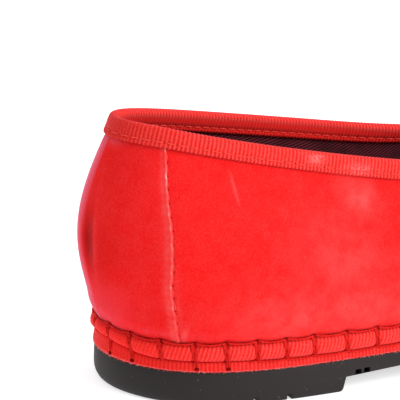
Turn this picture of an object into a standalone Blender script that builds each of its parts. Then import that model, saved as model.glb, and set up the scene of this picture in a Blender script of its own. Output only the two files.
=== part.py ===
"""Right slip-on slipper: velvet upper on a wrapped midsole and a rubber outsole with a heel.

The shoe stands on the floor at z = 0, heel at -X, toe at +X, its outer side at -Y.
"""
import math

import bmesh
import bpy
import numpy as np

# Sizes of the last and of the sole unit, metres
LENGTH = 0.265
BALL_WIDTH = 0.095
COLLAR_DEPTH = 0.0642
HEEL_HEIGHT = 0.0105
HEEL_LENGTH = 0.065
BREAST_SLOPE = 0.0008
BREAST_HEIGHT = 0.0045
WAIST_LENGTH = 0.030
TREAD_THICKNESS = 0.0045
BALL_START = 0.148
TOE_BREAK = 0.176
TOE_SPRING = 0.008
TOE_SPRING_BEND = 1.8
HEEL_BEVEL_HEIGHT = 0.0040
HEEL_BEVEL_DEPTH = 0.0024
EDGE_BEVEL = 0.0008
BACK_BEVEL_LENGTH = 0.030

# Foxing: the wrapped midsole and the stitched band above it; the band's shoulder is the share of
# its height over which it rounds, and its puff follows a sine to the power BAND_PUFF_ROUND
MIDSOLE_HEIGHT = 0.0032
MIDSOLE_BACK_RISE = 0.0009
BAND_HEIGHT = 0.0055
BAND_BACK_RISE = 0.0008
BAND_PROUD = 0.0004
BAND_PUFF = 0.0008
BAND_PUFF_ROUND = 0.6
BAND_SHOULDER = 0.28
BAND_DEPTH = 0.0034
STITCH_PITCH = 0.00983
FIRST_STITCH = 0.0043
CORE_CLEARANCE = 0.0003

# Upper, its binding and the insole
WALL = 0.0018
FEATHER_PROUD = 0.0003
TAPE = 0.0008
FOLD_ROUND = 0.0002
BINDING_DEPTH = 0.0053
INSOLE_THICKNESS = 0.003
INSOLE_CLEARANCE = 0.0013
GAP = 0.0003

# Tread: the waist's grooves are distances from the heel breast, the others' tables are shares of
# HEEL_LENGTH from the back and of BALL_WIDTH from the middle
GROOVE_WIDTH = 0.0022
GROOVE_DEPTH = 0.0020
GROOVE_BOW = 0.004
GROOVE_REACH = 0.62
HEEL_GROOVES = (0.24, 0.50, 0.67)
WAIST_GROOVES = (0.0020, 0.0051)
TREAD_PITCH = 0.0175
LONG_GROOVES = (-0.21, 0.0, 0.21)
HEEL_LONG_GROOVES = (-0.13, 0.13)
LONG_GROOVE_WAVE = 0.0022

# Plan outline of the sole, from the back seam by the outer side and the toe to the inner side:
# along (share of LENGTH), across (share of BALL_WIDTH, minus on the outer side)
OUTLINE = (
    (0.000, 0.000),
    (0.040, -0.238),
    (0.110, -0.336),
    (0.220, -0.370),
    (0.360, -0.373),
    (0.500, -0.410),
    (0.620, -0.495),
    (0.750, -0.475),
    (0.870, -0.372),
    (0.960, -0.185),
    (1.000, 0.060),
    (0.970, 0.250),
    (0.880, 0.410),
    (0.790, 0.485),
    (0.700, 0.500),
    (0.600, 0.460),
    (0.450, 0.375),
    (0.330, 0.350),
    (0.220, 0.362),
    (0.110, 0.336),
    (0.040, 0.238),
)

# Upper, a row for each section round the shoe:
# round (share of the outline from the back seam), the topline point along (share of LENGTH),
# across (share of BALL_WIDTH) and up (share of COLLAR_DEPTH above the heel seat), then the curve
# between feather and topline: rise and lean at the feather, drop and splay at the topline
# (rise and drop are shares of COLLAR_DEPTH, lean and splay of BALL_WIDTH)
UPPER_SECTIONS = (
    (0.000, 0.011, 0.000, 0.992, 0.37, 0.093, 0.40, 0.134),
    (0.035, 0.031, -0.130, 0.990, 0.37, 0.091, 0.40, 0.128),
    (0.070, 0.078, -0.205, 0.955, 0.36, 0.081, 0.39, 0.112),
    (0.120, 0.175, -0.255, 0.875, 0.35, 0.058, 0.37, 0.084),
    (0.180, 0.310, -0.280, 0.777, 0.33, 0.042, 0.31, 0.062),
    (0.250, 0.430, -0.272, 0.713, 0.29, 0.025, 0.27, 0.090),
    (0.330, 0.520, -0.225, 0.702, 0.29, 0.020, 0.24, 0.250),
    (0.410, 0.565, -0.120, 0.721, 0.34, 0.030, 0.26, 0.480),
    (0.490, 0.580, 0.015, 0.732, 0.37, 0.040, 0.27, 0.600),
    (0.570, 0.565, 0.135, 0.722, 0.34, 0.030, 0.26, 0.480),
    (0.650, 0.520, 0.225, 0.702, 0.29, 0.020, 0.24, 0.250),
    (0.740, 0.420, 0.267, 0.727, 0.29, 0.025, 0.27, 0.090),
    (0.820, 0.300, 0.280, 0.795, 0.33, 0.042, 0.31, 0.062),
    (0.880, 0.175, 0.250, 0.880, 0.35, 0.058, 0.37, 0.084),
    (0.930, 0.078, 0.200, 0.947, 0.36, 0.081, 0.39, 0.112),
    (0.965, 0.031, 0.128, 0.977, 0.37, 0.091, 0.40, 0.128),
)

# Fineness of the meshes
OUTLINE_SAMPLES = 1440
PROFILE_SAMPLES = 60
UPPER_STATIONS = 72
UPPER_ROWS = 11
BAND_STATIONS_PER_STITCH = 3
SOLE_STATIONS = 42
STATION_ROOM = 0.008
GROOVE_STEPS = 8
MERGE_DISTANCE = 1e-6
SMOOTH_ANGLE = math.radians(35)

SEAT_HEIGHT = HEEL_HEIGHT + MIDSOLE_HEIGHT + BAND_HEIGHT


def ease(value, start, end):
    """Smooth 0 to 1 as value goes from start to end."""
    t = np.clip((np.asarray(value, float) - start) / (end - start), 0.0, 1.0)
    return t * t * (3.0 - 2.0 * t)


def loop_curve(keys, rows, at):
    """Closed smooth curve through rows, which stand at keys (0 to 1), read at the shares given."""
    keys = np.asarray(keys, float)
    rows = np.asarray(rows, float)
    count = len(keys)
    gap = np.diff(np.append(keys, keys[0] + 1.0))
    following = np.roll(rows, -1, axis=0)
    slope = (following - rows) / gap[:, None]
    system = np.zeros((count, count))
    right = np.zeros_like(rows)
    for i in range(count):
        before = gap[i - 1]
        system[i, i - 1] += before
        system[i, i] += 2.0 * (before + gap[i])
        system[i, (i + 1) % count] += gap[i]
        right[i] = 6.0 * (slope[i] - slope[i - 1])
    bend = np.linalg.solve(system, right)
    at = (np.asarray(at, float) - keys[0]) % 1.0 + keys[0]
    low = np.clip(np.searchsorted(keys, at, side="right") - 1, 0, count - 1)
    width = gap[low][:, None]
    t = (at - keys[low])[:, None]
    bend_low = bend[low]
    bend_high = bend[(low + 1) % count]
    first = slope[low] - width * (2.0 * bend_low + bend_high) / 6.0
    cubic = (bend_high - bend_low) / (6.0 * width)
    return rows[low] + t * first + t ** 2 * bend_low / 2.0 + t ** 3 * cubic


def steps_round(points):
    """Distance from each point of a closed curve to the next."""
    return np.linalg.norm(np.roll(points, -1, axis=0) - points, axis=1)


def make_outline():
    """Plan outline of the sole as points evenly spaced round it."""
    rows = np.array(OUTLINE) * (LENGTH, BALL_WIDTH)
    steps = steps_round(rows)
    keys = np.concatenate([[0.0], np.cumsum(steps)[:-1]]) / steps.sum()
    even = np.arange(OUTLINE_SAMPLES) / OUTLINE_SAMPLES
    points = loop_curve(keys, rows, even)
    for _ in range(2):
        steps = steps_round(points)
        way = np.concatenate([[0.0], np.cumsum(steps)]) / steps.sum()
        closed = np.vstack([points, points[:1]])
        points = np.column_stack([np.interp(even, way, closed[:, k]) for k in range(2)])
    return points


OUTLINE_POINTS = make_outline()
PERIMETER = steps_round(OUTLINE_POINTS).sum()
TOE_INDEX = int(np.argmax(OUTLINE_POINTS[:, 0]))


def on_outline(share, outward=0.0):
    """Points of the sole's outline at shares of the way round, set outward by a distance."""
    place = (np.asarray(share, float) % 1.0) * OUTLINE_SAMPLES
    low = np.floor(place).astype(int) % OUTLINE_SAMPLES
    part = (place - np.floor(place))[:, None]
    high = (low + 1) % OUTLINE_SAMPLES
    points = OUTLINE_POINTS[low] * (1.0 - part) + OUTLINE_POINTS[high] * part
    along = OUTLINE_POINTS[(low + 3) % OUTLINE_SAMPLES] - OUTLINE_POINTS[low - 2]
    along /= np.linalg.norm(along, axis=1)[:, None]
    normal = np.column_stack([along[:, 1], -along[:, 0]])
    return points + normal * np.asarray(outward, float).reshape(-1, 1)


def share_at(x, side):
    """Share of the way round where the outline's outer (-1) or inner (+1) side passes x."""
    if side < 0:
        part = OUTLINE_POINTS[:TOE_INDEX + 1, 0]
        return float(np.interp(x, part, np.arange(TOE_INDEX + 1))) / OUTLINE_SAMPLES
    part = np.append(OUTLINE_POINTS[TOE_INDEX:, 0], OUTLINE_POINTS[0, 0])[::-1]
    back = float(np.interp(x, part, np.arange(len(part))))
    return (1.0 - back / OUTLINE_SAMPLES) % 1.0


def outsole_top(x):
    """Height of the rubber's upper face: level over the heel, down to the ball, up to the toe."""
    waist_end = HEEL_LENGTH + WAIST_LENGTH
    fall = (HEEL_HEIGHT - TREAD_THICKNESS) * ease(x, waist_end, BALL_START)
    past_break = np.clip(x - TOE_BREAK, 0.0, None) / (LENGTH - TOE_BREAK)
    return HEEL_HEIGHT - fall + TOE_SPRING * past_break ** TOE_SPRING_BEND


def outsole_under(x):
    """Height of the rubber's underside: heel on the floor, breast, raised waist, forefoot."""
    x = np.asarray(x, float)
    waist_end = HEEL_LENGTH + WAIST_LENGTH
    behind = HEEL_HEIGHT - BREAST_HEIGHT
    share = np.clip((x - HEEL_LENGTH) / (waist_end - HEEL_LENGTH), 0.0, 1.0)
    thickness = behind + (TREAD_THICKNESS - behind) * share
    raised = np.maximum(outsole_top(x) - thickness, 0.0)
    breast = np.clip((x - HEEL_LENGTH) / BREAST_SLOPE, 0.0, 1.0)
    return raised * breast


def midsole_top(x):
    """Height of the seam line between the wrapped midsole and the stitched band."""
    back = 1.0 - ease(x, 0.0, HEEL_LENGTH + WAIST_LENGTH)
    return outsole_top(x) + MIDSOLE_HEIGHT + MIDSOLE_BACK_RISE * back


def band_top(x):
    """Height of the feather line, where the upper meets the stitched band."""
    back = 1.0 - ease(x, 0.0, HEEL_LENGTH)
    return midsole_top(x) + BAND_HEIGHT + BAND_BACK_RISE * back


def new_object(name, points, faces, material):
    """Closed mesh object from points and faces, its normals made to face outward."""
    mesh = bpy.data.meshes.new(name)
    work = bmesh.new()
    corners = [work.verts.new(p) for p in points]
    for face in faces:
        loop = [corners[i] for i in face]
        work.faces.new(loop)
    bmesh.ops.remove_doubles(work, verts=work.verts, dist=MERGE_DISTANCE)
    bmesh.ops.triangulate(work, faces=[f for f in work.faces if len(f.verts) > 4])
    bmesh.ops.recalc_face_normals(work, faces=work.faces)
    work.to_mesh(mesh)
    work.free()
    mesh.shade_smooth()
    mesh.set_sharp_from_angle(angle=SMOOTH_ANGLE)
    item = bpy.data.objects.new(name, mesh)
    bpy.context.scene.collection.objects.link(item)
    if material is not None:
        mesh.materials.append(material)
    return item


def plain_material(name, colour, roughness):
    """Principled material of one colour, not metallic."""
    material = bpy.data.materials.new(name)
    material.use_nodes = True
    shader = material.node_tree.nodes["Principled BSDF"]
    shader.inputs["Base Color"].default_value = (*colour, 1.0)
    shader.inputs["Roughness"].default_value = roughness
    shader.inputs["Metallic"].default_value = 0.0
    return material


def sole_places():
    """Places along the sole: close together at both ends, one pair at the heel breast."""
    turn = np.arange(SOLE_STATIONS + 1) * math.pi / SOLE_STATIONS
    places = list(LENGTH * (1.0 - np.cos(turn)) / 2.0)
    fixed = [HEEL_LENGTH, HEEL_LENGTH + BREAST_SLOPE, BALL_START, TOE_BREAK]
    room = LENGTH * STATION_ROOM
    places = [x for x in places if all(abs(x - other) > room for other in fixed)]
    return sorted(places + fixed)


def layered_slab(name, layers, material):
    """Closed slab on the sole's outline: each layer has an outward shift and a height by x."""
    places = sole_places()
    outer = [share_at(x, -1) for x in places]
    inner = [share_at(x, 1) for x in places[1:-1]]
    shares = outer + inner[::-1]
    count = len(shares)
    last = len(places) - 1
    points = []
    for shift, height in layers:
        base = on_outline(shares)
        plan = on_outline(shares, shift(base[:, 0]))
        level = height(plan[:, 0])
        points += [(x, y, z) for (x, y), z in zip(plan, level)]
    faces = []
    for row in range(len(layers) - 1):
        for i in range(count):
            j = (i + 1) % count
            faces.append((row * count + i, row * count + j,
                          (row + 1) * count + j, (row + 1) * count + i))
    for row in (0, len(layers) - 1):
        start = row * count
        for i in range(last):
            near = start + i
            near_next = start + i + 1
            far = start + (count - i) % count
            far_next = start + count - i - 1
            if i == 0:
                faces.append((near, near_next, far_next))
            elif i == last - 1:
                faces.append((near, near_next, far))
            else:
                faces.append((near, near_next, far_next, far))
    return new_object(name, points, faces, material)


def constant(value):
    """A function of x that gives one value everywhere."""
    return lambda x: np.full(np.shape(x), float(value))


def back_share(x):
    """1 at the back of the heel, fading to 0 along its sides."""
    return 1.0 - ease(x, 0.0, BACK_BEVEL_LENGTH)


def groove_cutter(name, path):
    """Bar of the groove's width along a path of (x, y), from under the tread to its depth."""
    path = np.asarray(path, float)
    along = np.gradient(path, axis=0)
    along /= np.linalg.norm(along, axis=1)[:, None]
    side = np.column_stack([-along[:, 1], along[:, 0]]) * GROOVE_WIDTH / 2.0
    under = outsole_under(path[:, 0])
    points = []
    for (x, y), (dx, dy), z in zip(path, side, under):
        points.append((x - dx, y - dy, z - GROOVE_DEPTH))
        points.append((x + dx, y + dy, z - GROOVE_DEPTH))
        points.append((x + dx, y + dy, z + GROOVE_DEPTH))
        points.append((x - dx, y - dy, z + GROOVE_DEPTH))
    faces = [(0, 1, 2, 3)]
    for i in range(len(path) - 1):
        a = i * 4
        for k in range(4):
            m = (k + 1) % 4
            faces.append((a + k, a + m, a + 4 + m, a + 4 + k))
    end = (len(path) - 1) * 4
    faces.append((end + 3, end + 2, end + 1, end))
    return new_object(name, points, faces, None)


def cross_groove(place, name):
    """Bowed groove across the whole tread, its ends at one place along the sides."""
    across = np.linspace(-GROOVE_REACH, GROOVE_REACH, GROOVE_STEPS + 1)
    bow = GROOVE_BOW * (1.0 - (across / GROOVE_REACH) ** 2)
    return groove_cutter(name, list(zip(place + bow, across * BALL_WIDTH)))


def long_groove(across, start, end, name):
    """Gently waved groove along the forefoot."""
    along = np.linspace(start, end, 2 * GROOVE_STEPS + 1)
    wave = LONG_GROOVE_WAVE * np.sin((along - start) / (end - start) * 2.0 * math.pi)
    path = [(x, across * BALL_WIDTH + w) for x, w in zip(along, wave)]
    return groove_cutter(name, path)


def join_cutters(name, cutters):
    """One hidden cutter object from several bars that don't touch."""
    work = bmesh.new()
    for cutter in cutters:
        work.from_mesh(cutter.data)
    mesh = bpy.data.meshes.new(name)
    work.to_mesh(mesh)
    work.free()
    for cutter in cutters:
        bpy.data.objects.remove(cutter)
    item = bpy.data.objects.new(name, mesh)
    bpy.context.scene.collection.objects.link(item)
    item.hide_render = True
    item.display_type = "WIRE"
    return item


def make_outsole(material):
    """Rubber unit with heel, breast, toe spring and main tread grooves."""
    def bevel_in(x):
        return -(EDGE_BEVEL + (HEEL_BEVEL_DEPTH - EDGE_BEVEL) * back_share(x))

    def bevel_top(x):
        height = EDGE_BEVEL + (HEEL_BEVEL_HEIGHT - EDGE_BEVEL) * back_share(x)
        return outsole_under(x) + height

    layers = ((bevel_in, outsole_under), (constant(0.0), bevel_top), (constant(0.0), outsole_top))
    outsole = layered_slab("outsole", layers, material)
    crossing = [cross_groove(HEEL_LENGTH * share, "heel_groove") for share in HEEL_GROOVES]
    crossing += [cross_groove(HEEL_LENGTH + place, "waist_groove") for place in WAIST_GROOVES]
    first = HEEL_LENGTH + WAIST_LENGTH + TREAD_PITCH / 2.0
    count = int((LENGTH - first) / TREAD_PITCH)
    crossing += [cross_groove(first + i * TREAD_PITCH, "ball_groove") for i in range(count)]
    long_start = HEEL_LENGTH + WAIST_LENGTH
    long_end = LENGTH - TREAD_PITCH
    lengthwise = [long_groove(a, long_start, long_end, "long_groove") for a in LONG_GROOVES]
    heel_end = HEEL_LENGTH + BREAST_SLOPE
    lengthwise += [long_groove(a, HEEL_LENGTH * HEEL_GROOVES[0], heel_end, "heel_long_groove")
                   for a in HEEL_LONG_GROOVES]
    for cutter in (join_cutters("cross_cutter", crossing), join_cutters("long_cutter", lengthwise)):
        cut = outsole.modifiers.new(cutter.name, "BOOLEAN")
        cut.operation = "DIFFERENCE"
        cut.solver = "EXACT"
        cut.object = cutter
    return outsole


def make_midsole(material):
    """Platform: its wrapped edge shows, and its core stands up inside the stitched band."""
    core = BAND_PROUD - BAND_DEPTH - CORE_CLEARANCE
    layers = (
        (constant(0.0), lambda x: outsole_top(x) + GAP),
        (constant(0.0), midsole_top),
        (constant(core), midsole_top),
        (constant(core), band_top),
    )
    return layered_slab("midsole", layers, material)


def make_insole(material):
    """Footbed that lies on the core, inside the wall of the upper."""
    edge = FEATHER_PROUD - WALL - INSOLE_CLEARANCE
    layers = (
        (constant(edge), lambda x: band_top(x) + GAP),
        (constant(edge), lambda x: band_top(x) + GAP + INSOLE_THICKNESS),
    )
    return layered_slab("insole", layers, material)


def ring_object(name, sections, material):
    """Closed ring from sections, each a loop of the same number of points."""
    count = len(sections)
    size = len(sections[0])
    points = [tuple(p) for section in sections for p in section]
    faces = []
    for i in range(count):
        j = (i + 1) % count
        for k in range(size):
            m = (k + 1) % size
            faces.append((i * size + k, j * size + k, j * size + m, i * size + m))
    return new_object(name, points, faces, material)


def make_band(material):
    """Stitched band: a padded strip round the midsole, drawn in at each blanket stitch."""
    stitches = round(PERIMETER / STITCH_PITCH)
    count = stitches * BAND_STATIONS_PER_STITCH
    shares = FIRST_STITCH / PERIMETER + np.arange(count) / count
    phase = (np.arange(count) % BAND_STATIONS_PER_STITCH) / BAND_STATIONS_PER_STITCH
    puff = BAND_PUFF * np.sin(phase * math.pi) ** BAND_PUFF_ROUND
    edge = on_outline(shares, BAND_PROUD)
    middle = on_outline(shares, BAND_PROUD + puff)
    root = on_outline(shares, BAND_PROUD - BAND_DEPTH)
    low = midsole_top(edge[:, 0]) + GAP
    high = band_top(edge[:, 0])
    root_low = midsole_top(root[:, 0]) + GAP
    root_high = band_top(root[:, 0])
    sections = []
    for i in range(count):
        tall = high[i] - low[i]
        sections.append((
            (*edge[i], low[i]),
            (*middle[i], low[i] + tall * BAND_SHOULDER),
            (*middle[i], high[i] - tall * BAND_SHOULDER),
            (*edge[i], high[i]),
            (*root[i], root_high[i]),
            (*root[i], root_low[i]),
        ))
    return ring_object("welt_band", sections, material)


def upper_profiles(shares):
    """Curves of the upper's outer face, from feather to topline, at shares round the shoe."""
    table = np.array(UPPER_SECTIONS)
    rows = loop_curve(table[:, 0], table[:, 1:], shares)
    foot_plan = on_outline(shares, FEATHER_PROUD)
    foot = np.column_stack([foot_plan, band_top(foot_plan[:, 0]) + GAP])
    top = rows[:, :3] * (LENGTH, BALL_WIDTH, COLLAR_DEPTH) + (0.0, 0.0, SEAT_HEIGHT)
    inward = (top - foot)[:, :2]
    inward /= np.linalg.norm(inward, axis=1)[:, None]
    outward = np.column_stack([-inward, np.zeros(len(shares))])
    up = np.array((0.0, 0.0, COLLAR_DEPTH))
    near_foot = foot + up * rows[:, 3:4] + outward * rows[:, 4:5] * BALL_WIDTH
    near_top = top - up * rows[:, 5:6] + outward * rows[:, 6:7] * BALL_WIDTH
    t = np.linspace(0.0, 1.0, PROFILE_SAMPLES + 1)[None, :, None]
    return (foot[:, None] * (1.0 - t) ** 3 + near_foot[:, None] * 3.0 * t * (1.0 - t) ** 2
            + near_top[:, None] * 3.0 * t ** 2 * (1.0 - t) + top[:, None] * t ** 3)


def read_profiles(curves, below_top):
    """Points of each curve at distances below the topline (one row of distances per curve)."""
    points = []
    for curve, wanted in zip(curves, below_top):
        back = curve[::-1]
        way = np.concatenate([[0.0], np.cumsum(np.linalg.norm(np.diff(back, axis=0), axis=1))])
        points.append(np.column_stack([np.interp(wanted, way, back[:, k]) for k in range(3)]))
    return np.array(points)


def face_normals(points):
    """Outward normals of a grid of points: first index round the shoe, second down the wall."""
    around = np.roll(points, -1, axis=0) - np.roll(points, 1, axis=0)
    down = np.gradient(points, axis=1)
    normal = np.cross(down, around)
    return normal / np.linalg.norm(normal, axis=2)[:, :, None]


def make_upper(material):
    """Velvet upper with its lining as one hollow wall, open at the collar and underneath."""
    shares = np.arange(UPPER_STATIONS) / UPPER_STATIONS
    curves = upper_profiles(shares)
    lengths = np.linalg.norm(np.diff(curves, axis=1), axis=2).sum(axis=1)
    even = np.linspace(0.0, 1.0, UPPER_ROWS)[None, :]
    below = BINDING_DEPTH + (lengths[:, None] - BINDING_DEPTH) * even
    below = np.column_stack([np.zeros(UPPER_STATIONS), below])
    outer = read_profiles(curves, below)
    inner = outer - face_normals(outer) * WALL
    inner[:, -1, 2] = band_top(inner[:, -1, 0]) + GAP
    sections = [np.vstack([outer[i], inner[i][::-1]]) for i in range(UPPER_STATIONS)]
    return ring_object("upper", sections, material)


def make_binding(material):
    """Tape folded over the topline, outside and inside, cut from the upper's own function."""
    shares = np.arange(UPPER_STATIONS) / UPPER_STATIONS
    curves = upper_profiles(shares)
    below = np.tile((0.0, BINDING_DEPTH / 2.0, BINDING_DEPTH), (UPPER_STATIONS, 1))
    outer = read_profiles(curves, below)
    normal = face_normals(outer)
    up = outer[:, 0] - outer[:, 1]
    up /= np.linalg.norm(up, axis=1)[:, None]
    sections = []
    for i in range(UPPER_STATIONS):
        out = normal[i]
        inside = [outer[i][k] - out[k] * WALL for k in range(3)]
        lift = up[i]
        middle = (outer[i][0] + inside[0]) / 2.0
        sections.append([
            outer[i][2] + out[2] * (GAP + TAPE),
            outer[i][1] + out[1] * (GAP + TAPE),
            outer[i][0] + out[0] * (GAP + TAPE),
            middle + lift * (GAP + TAPE + FOLD_ROUND),
            inside[0] - out[0] * (GAP + TAPE),
            inside[1] - out[1] * (GAP + TAPE),
            inside[2] - out[2] * (GAP + TAPE),
            inside[2] - out[2] * GAP,
            inside[0] - out[0] * GAP + lift * GAP,
            outer[i][0] + out[0] * GAP + lift * GAP,
            outer[i][2] + out[2] * GAP,
        ])
    return ring_object("collar_binding", sections, material)


def centre_on_floor(items):
    """Move the pieces so that the middle of the whole shoe stands over the origin."""
    corners = np.array([v.co[:] for item in items for v in item.data.vertices])
    middle = (corners.min(axis=0) + corners.max(axis=0)) / 2.0
    for item in bpy.context.scene.objects:
        item.location = (-middle[0], -middle[1], 0.0)


def build():
    """Model the slipper."""
    for item in list(bpy.data.objects):
        bpy.data.objects.remove(item)
    velvet = plain_material("red_velvet", (0.62, 0.015, 0.02), 0.85)
    ribbon = plain_material("red_grosgrain", (0.58, 0.02, 0.015), 0.7)
    rubber = plain_material("black_rubber", (0.03, 0.027, 0.028), 0.6)
    lining = plain_material("maroon_lining", (0.045, 0.004, 0.01), 0.9)
    items = [
        make_outsole(rubber),
        make_midsole(ribbon),
        make_band(ribbon),
        make_insole(lining),
        make_upper(velvet),
        make_binding(ribbon),
    ]
    centre_on_floor(items)


build()
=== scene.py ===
"""Looks of a right slip-on slipper: velvet upper, grosgrain tapes, blanket stitches, rubber sole.

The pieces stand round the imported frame, in metres, heel at -X, toe at +X and outer side at -Y.
"""
import math

import bmesh
import bpy
import numpy as np
from bpy.props import FloatProperty, FloatVectorProperty, PointerProperty
from mathutils import Matrix, Vector, noise


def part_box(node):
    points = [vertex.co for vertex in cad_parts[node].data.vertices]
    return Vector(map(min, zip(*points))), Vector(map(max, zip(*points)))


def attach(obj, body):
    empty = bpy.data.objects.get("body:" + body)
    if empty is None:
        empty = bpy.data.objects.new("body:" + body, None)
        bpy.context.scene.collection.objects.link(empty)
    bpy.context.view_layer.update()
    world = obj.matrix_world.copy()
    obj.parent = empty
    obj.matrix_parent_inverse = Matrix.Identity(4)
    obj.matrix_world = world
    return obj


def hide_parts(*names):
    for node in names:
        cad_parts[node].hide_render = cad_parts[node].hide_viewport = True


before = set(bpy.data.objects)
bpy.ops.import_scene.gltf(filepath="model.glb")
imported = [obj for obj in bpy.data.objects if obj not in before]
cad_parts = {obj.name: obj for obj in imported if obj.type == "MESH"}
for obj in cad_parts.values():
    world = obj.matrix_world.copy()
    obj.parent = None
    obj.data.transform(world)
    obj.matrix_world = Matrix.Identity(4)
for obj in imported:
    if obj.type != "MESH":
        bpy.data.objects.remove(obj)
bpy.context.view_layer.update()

bl_info = {
    "name": "Velvet slipper",
    "version": (1, 0, 0),
    "blender": (4, 5, 0),
    "location": "View3D > Sidebar > Slipper",
    "description": "Makes the finished pieces of a velvet slip-on slipper round its frame",
    "category": "Add Mesh",
}

# Sizes of the last and of the sole unit, as in the solids
OUTSOLE_LOW, OUTSOLE_HIGH = (tuple(corner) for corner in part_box("outsole"))
LENGTH = OUTSOLE_HIGH[0] - OUTSOLE_LOW[0]
BALL_WIDTH = 0.095
COLLAR_DEPTH = 0.0642
HEEL_HEIGHT = 0.0105
HEEL_LENGTH = 0.065
BREAST_SLOPE = 0.0008
BREAST_HEIGHT = 0.0045
BREAST_ROUND = 0.0012
WAIST_LENGTH = 0.030
TREAD_THICKNESS = 0.0045
BALL_START = 0.148
TOE_BREAK = 0.176
TOE_SPRING = 0.008
TOE_SPRING_BEND = 1.8
HEEL_BEVEL_HEIGHT = 0.0040
HEEL_BEVEL_DEPTH = 0.0024
EDGE_BEVEL = 0.0008
BACK_BEVEL_LENGTH = 0.030

MIDSOLE_HEIGHT = 0.0032
MIDSOLE_BACK_RISE = 0.0009
BAND_HEIGHT = 0.0055
BAND_BACK_RISE = 0.0008
BAND_PROUD = 0.0004
BAND_PUFF = 0.0008
BAND_DEPTH = 0.0034
STITCH_PITCH = 0.00983
FIRST_STITCH = 0.0043
CORE_CLEARANCE = 0.0003

WALL = 0.0018
FEATHER_PROUD = 0.0003
TAPE = 0.0008
FOLD_ROUND = 0.0002
BINDING_DEPTH = 0.0053
INSOLE_THICKNESS = 0.003
INSOLE_CLEARANCE = 0.0013
GAP = 0.0003

GROOVE_WIDTH = 0.0022
GROOVE_DEPTH = 0.0020
GROOVE_BOW = 0.004
GROOVE_REACH = 0.62
HEEL_GROOVES = (0.24, 0.50, 0.67)
WAIST_GROOVES = (0.0020, 0.0051)
TREAD_PITCH = 0.0175
LONG_GROOVES = (-0.21, 0.0, 0.21)
HEEL_LONG_GROOVES = (-0.13, 0.13)
LONG_GROOVE_WAVE = 0.0022

# Plan outline of the sole: along (share of LENGTH), across (share of BALL_WIDTH)
OUTLINE = (
    (0.000, 0.000),
    (0.040, -0.238),
    (0.110, -0.336),
    (0.220, -0.370),
    (0.360, -0.373),
    (0.500, -0.410),
    (0.620, -0.495),
    (0.750, -0.475),
    (0.870, -0.372),
    (0.960, -0.185),
    (1.000, 0.060),
    (0.970, 0.250),
    (0.880, 0.410),
    (0.790, 0.485),
    (0.700, 0.500),
    (0.600, 0.460),
    (0.450, 0.375),
    (0.330, 0.350),
    (0.220, 0.362),
    (0.110, 0.336),
    (0.040, 0.238),
)

# Upper: round, topline along, across and up, rise and lean at the feather, drop and splay above
UPPER_SECTIONS = (
    (0.000, 0.011, 0.000, 0.992, 0.37, 0.093, 0.40, 0.134),
    (0.035, 0.031, -0.130, 0.990, 0.37, 0.091, 0.40, 0.128),
    (0.070, 0.078, -0.205, 0.955, 0.36, 0.081, 0.39, 0.112),
    (0.120, 0.175, -0.255, 0.875, 0.35, 0.058, 0.37, 0.084),
    (0.180, 0.310, -0.280, 0.777, 0.33, 0.042, 0.31, 0.062),
    (0.250, 0.430, -0.272, 0.713, 0.29, 0.025, 0.27, 0.090),
    (0.330, 0.520, -0.225, 0.702, 0.29, 0.020, 0.24, 0.250),
    (0.410, 0.565, -0.120, 0.721, 0.34, 0.030, 0.26, 0.480),
    (0.490, 0.580, 0.015, 0.732, 0.37, 0.040, 0.27, 0.600),
    (0.570, 0.565, 0.135, 0.722, 0.34, 0.030, 0.26, 0.480),
    (0.650, 0.520, 0.225, 0.702, 0.29, 0.020, 0.24, 0.250),
    (0.740, 0.420, 0.267, 0.727, 0.29, 0.025, 0.27, 0.090),
    (0.820, 0.300, 0.280, 0.795, 0.33, 0.042, 0.31, 0.062),
    (0.880, 0.175, 0.250, 0.880, 0.35, 0.058, 0.37, 0.084),
    (0.930, 0.078, 0.200, 0.947, 0.36, 0.081, 0.39, 0.112),
    (0.965, 0.031, 0.128, 0.977, 0.37, 0.091, 0.40, 0.128),
)

# Seam of the heel counter: share of the way down the wall, share of the way round the shoe
COUNTER_SEAM = (
    (0.00, 0.0436),
    (0.10, 0.0426),
    (0.24, 0.0400),
    (0.34, 0.0394),
    (0.46, 0.0399),
    (0.63, 0.0397),
    (0.72, 0.0395),
    (0.82, 0.0416),
    (0.91, 0.0443),
    (1.00, 0.0474),
)

# Soft creases of the velvet: round and down of both ends, half width, height
CREASES = (
    (0.0822, 0.145, 0.0811, 0.31, 0.0006, 0.00012),
    (0.1500, 0.20, 0.1350, 0.70, 0.0140, -0.00030),
    (0.1050, 0.30, 0.0950, 0.80, 0.0160, 0.00020),
    (0.2300, 0.12, 0.2650, 0.75, 0.0070, -0.00060),
    (0.2900, 0.25, 0.3500, 0.62, 0.0060, -0.00070),
    (0.3250, 0.30, 0.3800, 0.70, 0.0050, 0.00035),
    (0.7700, 0.12, 0.7350, 0.75, 0.0070, -0.00060),
    (0.7100, 0.25, 0.6500, 0.62, 0.0060, -0.00070),
    (0.6800, 0.30, 0.6200, 0.70, 0.0050, 0.00035),
    (0.8800, 0.25, 0.8950, 0.75, 0.0110, -0.00035),
    (0.4500, 0.12, 0.5300, 0.12, 0.0050, -0.00030),
)

# Places where the pile is pale: round, down, half width round, half width down, strength
RUBBED_AND_SHEEN = (
    # The first row is a painted highlight and the second a broad painted sheen on the outer side;
    # the other rows are worn pile
    (0.1560, 0.22, 0.0100, 0.12, 0.34),
    (0.1350, 0.60, 0.0260, 0.26, 0.16),
    (0.1020, 0.88, 0.0300, 0.15, 0.20),
    (0.1450, 0.88, 0.0350, 0.14, 0.22),
    (0.0432, 0.93, 0.0022, 0.045, 0.45),
    (0.0484, 0.95, 0.0018, 0.04, 0.35),
    (0.0020, 0.09, 0.0060, 0.02, 0.12),
    (0.3800, 0.40, 0.0500, 0.20, 0.25),
    (0.6000, 0.50, 0.0500, 0.25, 0.25),
    (0.8600, 0.45, 0.0350, 0.25, 0.30),
    (0.9400, 0.75, 0.0250, 0.16, 0.25),
)

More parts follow.
